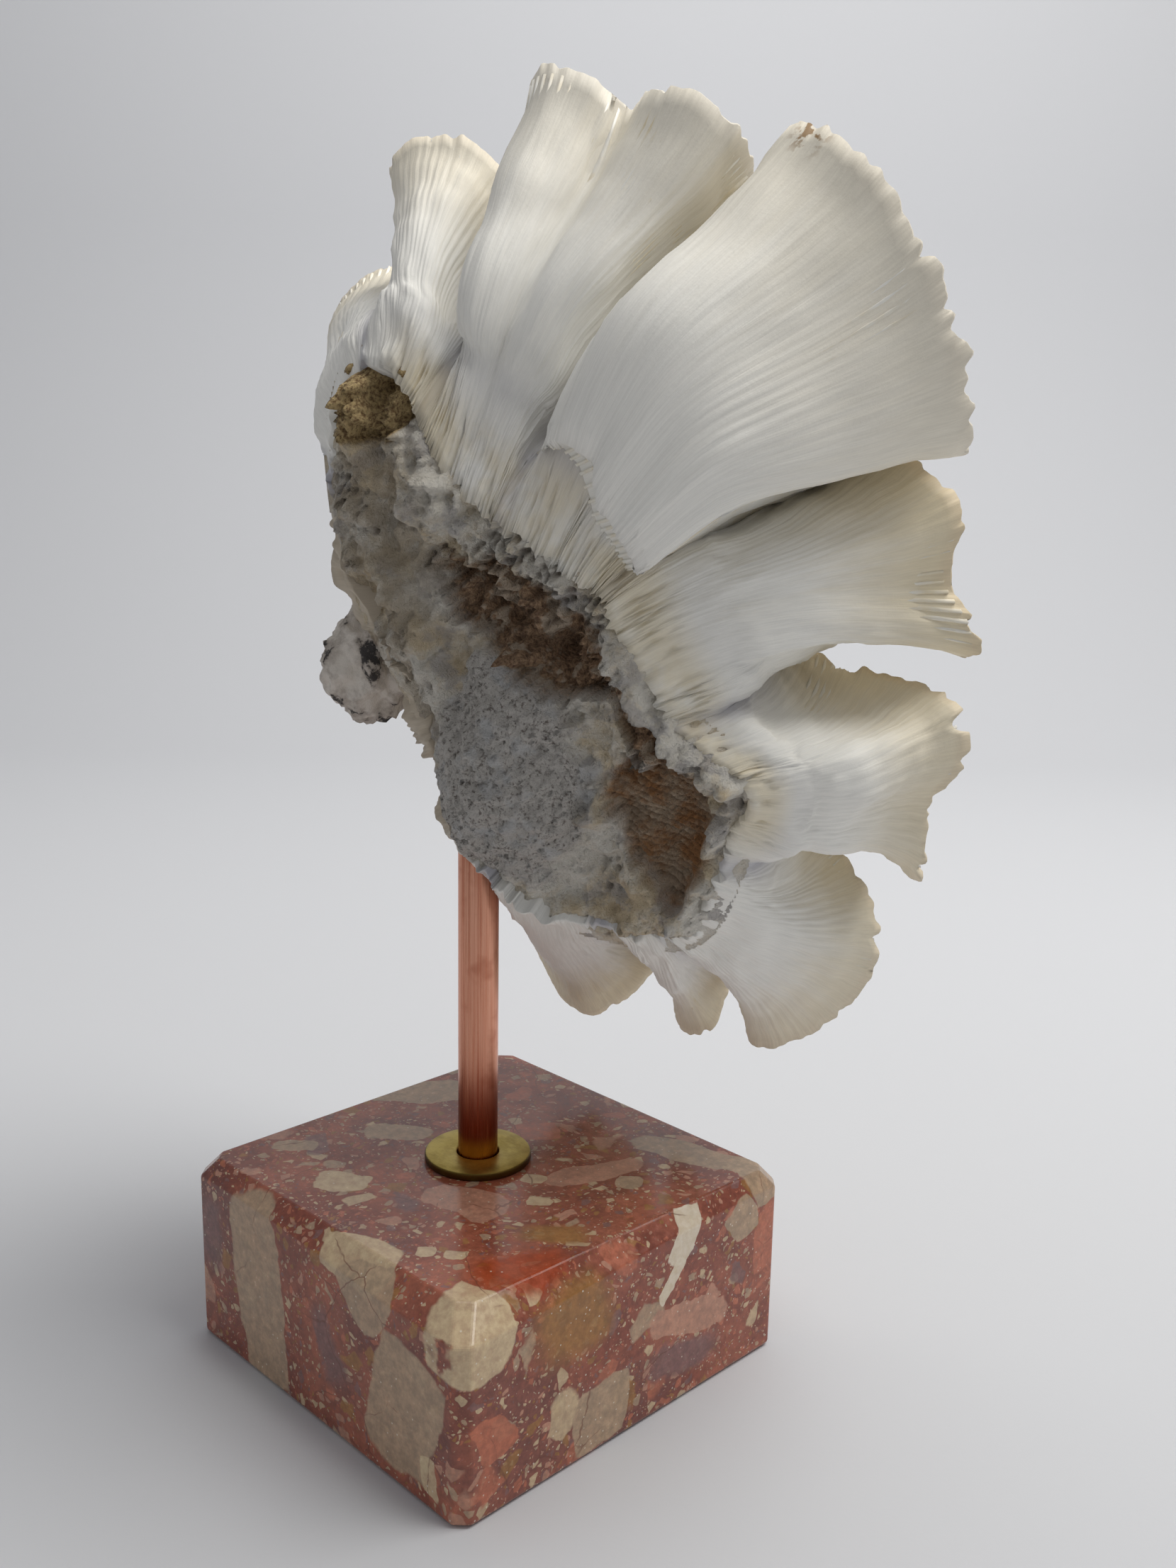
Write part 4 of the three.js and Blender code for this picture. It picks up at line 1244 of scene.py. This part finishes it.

# %% [markdown]
# The wall as a piece. The grid's points become one mesh, and attributes carry to the shader what it
# can't see for itself: how far up the wall and along the rim a point is, how warm its lobe is, where
# the folds and the bands under the bulges take painted grey-lavender shade, and where the ledge, pores
# and stains lie. The two open ends of the grid are then welded and capped.

# %% Coral wall piece
WALL_ROWS = len(WALL_GRID)
STAIN_AT = np.array([50.0, 40.0, 104.0])
GROOVE_SHADE_AT, GROOVE_SHADE_WIDE = 0.23, 0.1
INNER_SHIFT = 40.0
WELD = 0.02
wall_points = to_world(WALL_GRID.reshape(-1, 3))
wall = piece("coral_wall", wall_points, grid_faces(WALL_ROWS, COLUMNS)[:, ::-1], WALL_FINISH)
travel = np.broadcast_to(LINES["travel"], WALL_HEIGHT_SHARE.shape)
run = WALL_HEIGHT_SHARE * LINES["length"]
attribute(wall.data, "growth", np.stack([travel, run, WALL_INSIDE * INNER_SHIFT], axis=-1), "FLOAT_VECTOR")
attribute(wall.data, "height", WALL_HEIGHT_SHARE)
attribute(wall.data, "warm", np.broadcast_to(LINES["warm"], WALL_HEIGHT_SHARE.shape))
outside = WALL_INSIDE < 0.5
# Painted shade: a band under each bulge and the lower part of each fold, for the lavender shade.
beneath = np.exp(-(((WALL_HEIGHT_SHARE - GROOVE_SHADE_AT) / GROOVE_SHADE_WIDE) ** 2))
shade_under_bulge = LINES["swell"] / LINES["swell"].max() * beneath
groove_shade = np.maximum(LINES["fold"] * ease(WALL_HEIGHT_SHARE, 0.75, 0.25), shade_under_bulge)
attribute(wall.data, "groove_shade", groove_shade * outside)
attribute(wall.data, "ledge", LEDGE * ease(WALL_HEIGHT_SHARE, 0.22, 0.08) * outside)
stain = ease(np.linalg.norm(WALL_GRID - STAIN_AT, axis=-1), 7.0, 2.5) * (WALL_INSIDE < 0.9)
attribute(wall.data, "stain", stain)
attribute(wall.data, "porous", LEFT_SIDE * ease(WALL_HEIGHT_SHARE, 0.55, 0.2) * outside)


def close_ends(made):
    """Welds the valley line, caps the hidden ring, closes slits and turns every face outwards."""
    mesh = bmesh.new()
    mesh.from_mesh(made.data)
    bmesh.ops.remove_doubles(mesh, verts=mesh.verts, dist=WELD * MM)
    open_edges = [edge for edge in mesh.edges if edge.is_boundary]
    bmesh.ops.holes_fill(mesh, edges=open_edges)
    slits = [edge for edge in mesh.edges if edge.is_boundary]
    bmesh.ops.collapse(mesh, edges=slits)
    bmesh.ops.recalc_face_normals(mesh, faces=mesh.faces)
    left = sum(1 for edge in mesh.edges if edge.is_boundary)
    mesh.to_mesh(made.data)
    mesh.free()
    print(made.name, "open edges left:", left)


close_ends(wall)
wall.data.shade_smooth()
settle(wall, "coral")

# %% [markdown]
# The base as a piece. Its masks go along as attributes, front and back alike, so that each part of the
# broken face takes its own colour, and the pores and the gaps between the thin leaves take painted shade.

# %% Coral base piece
PIT_SHADE_SHARE = 0.75
base_points, base_faces, BASE_USED = base_mesh()
base = piece("coral_base", to_world(base_points), base_faces, BASE_FINISH)
BASE_ATTRIBUTES = {
    **BASE_MASKS,
    # Painted shade in the pores: deeper ones are darker, and there is none on the crust.
    "pit_shade": PIT_SHADE_SHARE * BASE_PORES * (1 - BASE_MASKS["crust"]),
    # Painted shade between the leaves, strongest where their relief lies deepest.
    "leaf_gap_shade": 0.5 + 0.5 * BASE_LEAF,
    "left": ease(BASE_X, -14, -38),
}
for name, mask in BASE_ATTRIBUTES.items():
    attribute(base.data, name, np.tile(mask.ravel()[BASE_USED], 2))
close_ends(base)
base.data.shade_smooth()
settle(base, "coral")

# %% [markdown]
# The dead stub at the left is a worn, stained knob of older coral. A subdivided ball, pulled to size
# and pushed about by fractal noise, is enough: its colour does the rest.

# %% Dead stub
STUB_AT, STUB_SIZE = np.array([-58.0, 18.0, -9.0]), np.array([13.0, 13.0, 15.0])
STUB_DETAIL, STUB_LUMPS, STUB_PUSH, STUB_MEAN = 5, 2.1, 0.22, 0.93


def stub_mesh():
    ball = bmesh.new()
    bmesh.ops.create_icosphere(ball, subdivisions=STUB_DETAIL, radius=1.0)
    for vertex in ball.verts:
        push = mathutils.noise.fractal(vertex.co * STUB_LUMPS, 0.9, 2.1, 5) * STUB_PUSH
        vertex.co *= STUB_MEAN + push
    ball.verts.ensure_lookup_table()
    points = np.array([vertex.co[:] for vertex in ball.verts]) * STUB_SIZE + STUB_AT
    faces = [[vertex.index for vertex in face.verts] for face in ball.faces]
    ball.free()
    return to_world(points), faces


def stub_finish():
    made, tree, shader = material("coral_stub_finish", Roughness=0.85)
    place = millimetres(tree)
    cloud = noise(tree, place, 0.11, 5.0, 0.65)["Fac"]
    fine = noise(tree, place, 0.7, 4.0, 0.7)["Fac"]
    colour = blend(tree, ramp(tree, cloud, 0.4, 0.6), tone(216, 208, 198), tone(170, 160, 150))
    colour = blend(tree, ramp(tree, cloud, 0.55, 0.61), colour, tone(62, 58, 56))
    dust = times(tree, ramp(tree, fine, 0.55, 0.7), 0.5)
    colour = blend(tree, dust, colour, tone(210, 200, 186))
    tree.links.new(colour, shader.inputs["Base Color"])
    tree.links.new(bump(tree, fine, 0.7, 0.6 * MM), shader.inputs["Normal"])
    return made


stub = piece("coral_stub", *stub_mesh(), stub_finish())
settle(stub, "coral")

# %% [markdown]
# The septa. On the living side hundreds of thin leaves stand on the wall and run down into the valleys,
# every second one taller. Each starts as a chain of edges on the inner wall. A Geometry Nodes tree
# pulls the edges out by a stored reach, with a random tooth at each point, and Solidify gives the
# leaves their thickness.

# %% Septa
SEPTUM_EVERY = 4
SEPTUM_THICK, SEPTUM_TOOTH = 0.7, 0.5
REACH_MAJOR, REACH_MINOR = 6.0, 3.0
SEPTUM_ROWS = 12
SEPTUM_FLOOR = (0.15, 0.35, 0.55, 0.75, 0.9)
SUNK = 0.4
TOOTH_SEED = 7


def septa_guides():
    """Chains of edges from the rim down the inner wall; the tall leaves run on over the valley floor."""
    columns = np.arange(0, COLUMNS, SEPTUM_EVERY)
    heights = np.linspace(0.985, FLOOR_AT, SEPTUM_ROWS)[:, None] * np.ones(COLUMNS)
    plain = on_wall(heights)
    aim, room = inward(heights, plain)
    thick = WALL_ROOT + (WALL_RIM - WALL_ROOT) * np.sqrt(heights)
    points = (plain + aim * (np.minimum(thick, 0.45 * room) - SUNK)[..., None])[:, columns]
    share = np.linspace(0, 1, SEPTUM_ROWS)[:, None]
    tall = np.where(np.arange(len(columns)) % 2, REACH_MINOR, REACH_MAJOR)
    reach = np.minimum(tall * (0.12 + ease(share, 0.0, 0.45)) + SUNK, 0.3 * room[:, columns])
    vectors = aim[:, columns] * reach[..., None]
    floor = np.array([valley_floor(points[-1], s) - ALONG_Y * SUNK for s in SEPTUM_FLOOR])
    drop = np.array([REACH_MAJOR * (1 - 0.6 * s) for s in SEPTUM_FLOOR])[:, None, None]
    lean = unit(vectors[-1]) * np.array([1 - s for s in SEPTUM_FLOOR])[:, None, None]
    over_floor = unit(ALONG_Y + lean) * drop
    points = np.concatenate([points, floor])
    vectors = np.concatenate([vectors, over_floor])
    number = np.arange(points[..., 0].size).reshape(points.shape[:2])
    chains = [number[:SEPTUM_ROWS, 1::2], number[:, 0::2]]
    edges = np.concatenate([np.stack([c[:-1], c[1:]], axis=-1).reshape(-1, 2) for c in chains])
    mesh = bpy.data.meshes.new("coral_septa")
    mesh.from_pydata(to_world(points.reshape(-1, 3)).tolist(), edges.tolist(), [])
    attribute(mesh, "reach", (vectors.reshape(-1, 3) @ CORAL_AXES) * MM, "FLOAT_VECTOR")
    return mesh


def septa_tree():
    tree = bpy.data.node_groups.new("septa", "GeometryNodeTree")
    tree.interface.new_socket("Geometry", in_out="INPUT", socket_type="NodeSocketGeometry")
    tooth = tree.interface.new_socket("Tooth", in_out="INPUT", socket_type="NodeSocketFloat")
    finish = tree.interface.new_socket("Finish", in_out="INPUT", socket_type="NodeSocketMaterial")
    tree.interface.new_socket("Geometry", in_out="OUTPUT", socket_type="NodeSocketGeometry")
    given = add(tree, "NodeGroupInput").outputs
    out = add(tree, "NodeGroupOutput").inputs
    stored = add(tree, "GeometryNodeInputNamedAttribute", {"Name": "reach"}, data_type="FLOAT_VECTOR")
    chance = add(tree, "FunctionNodeRandomValue", {"Seed": TOOTH_SEED}, data_type="FLOAT").outputs[1]
    part = times(tree, maths(tree, "SUBTRACT", chance, 0.5), given["Tooth"])
    scaled = {0: stored.outputs[0], "Scale": maths(tree, "ADD", part, 1.0)}
    offset = add(tree, "ShaderNodeVectorMath", scaled, operation="SCALE").outputs[0]
    guides = {"Mesh": given["Geometry"], "Offset": offset}
    pulled = add(tree, "GeometryNodeExtrudeMesh", guides, mode="EDGES")
    real = add(tree, "GeometryNodeRealizeInstances", {0: pulled.outputs["Mesh"]})
    dressed = {"Geometry": real.outputs[0], "Material": given["Finish"]}
    painted = add(tree, "GeometryNodeSetMaterial", dressed)
    tree.links.new(painted.outputs[0], out[0])
    return tree, tooth.identifier, finish.identifier


septa = bpy.data.objects.new("coral_septa", septa_guides())
bpy.context.scene.collection.objects.link(septa)
leaf_tree, TOOTH_SOCKET, FINISH_SOCKET = septa_tree()
leaves = septa.modifiers.new("leaves", "NODES")
leaves.node_group = leaf_tree
leaves[TOOTH_SOCKET] = SEPTUM_TOOTH
leaves[FINISH_SOCKET] = SEPTA_FINISH
plate = septa.modifiers.new("plate", "SOLIDIFY")
plate.thickness, plate.offset = SEPTUM_THICK * MM, 0.0
apply_modifiers(septa)
settle(septa, "coral")
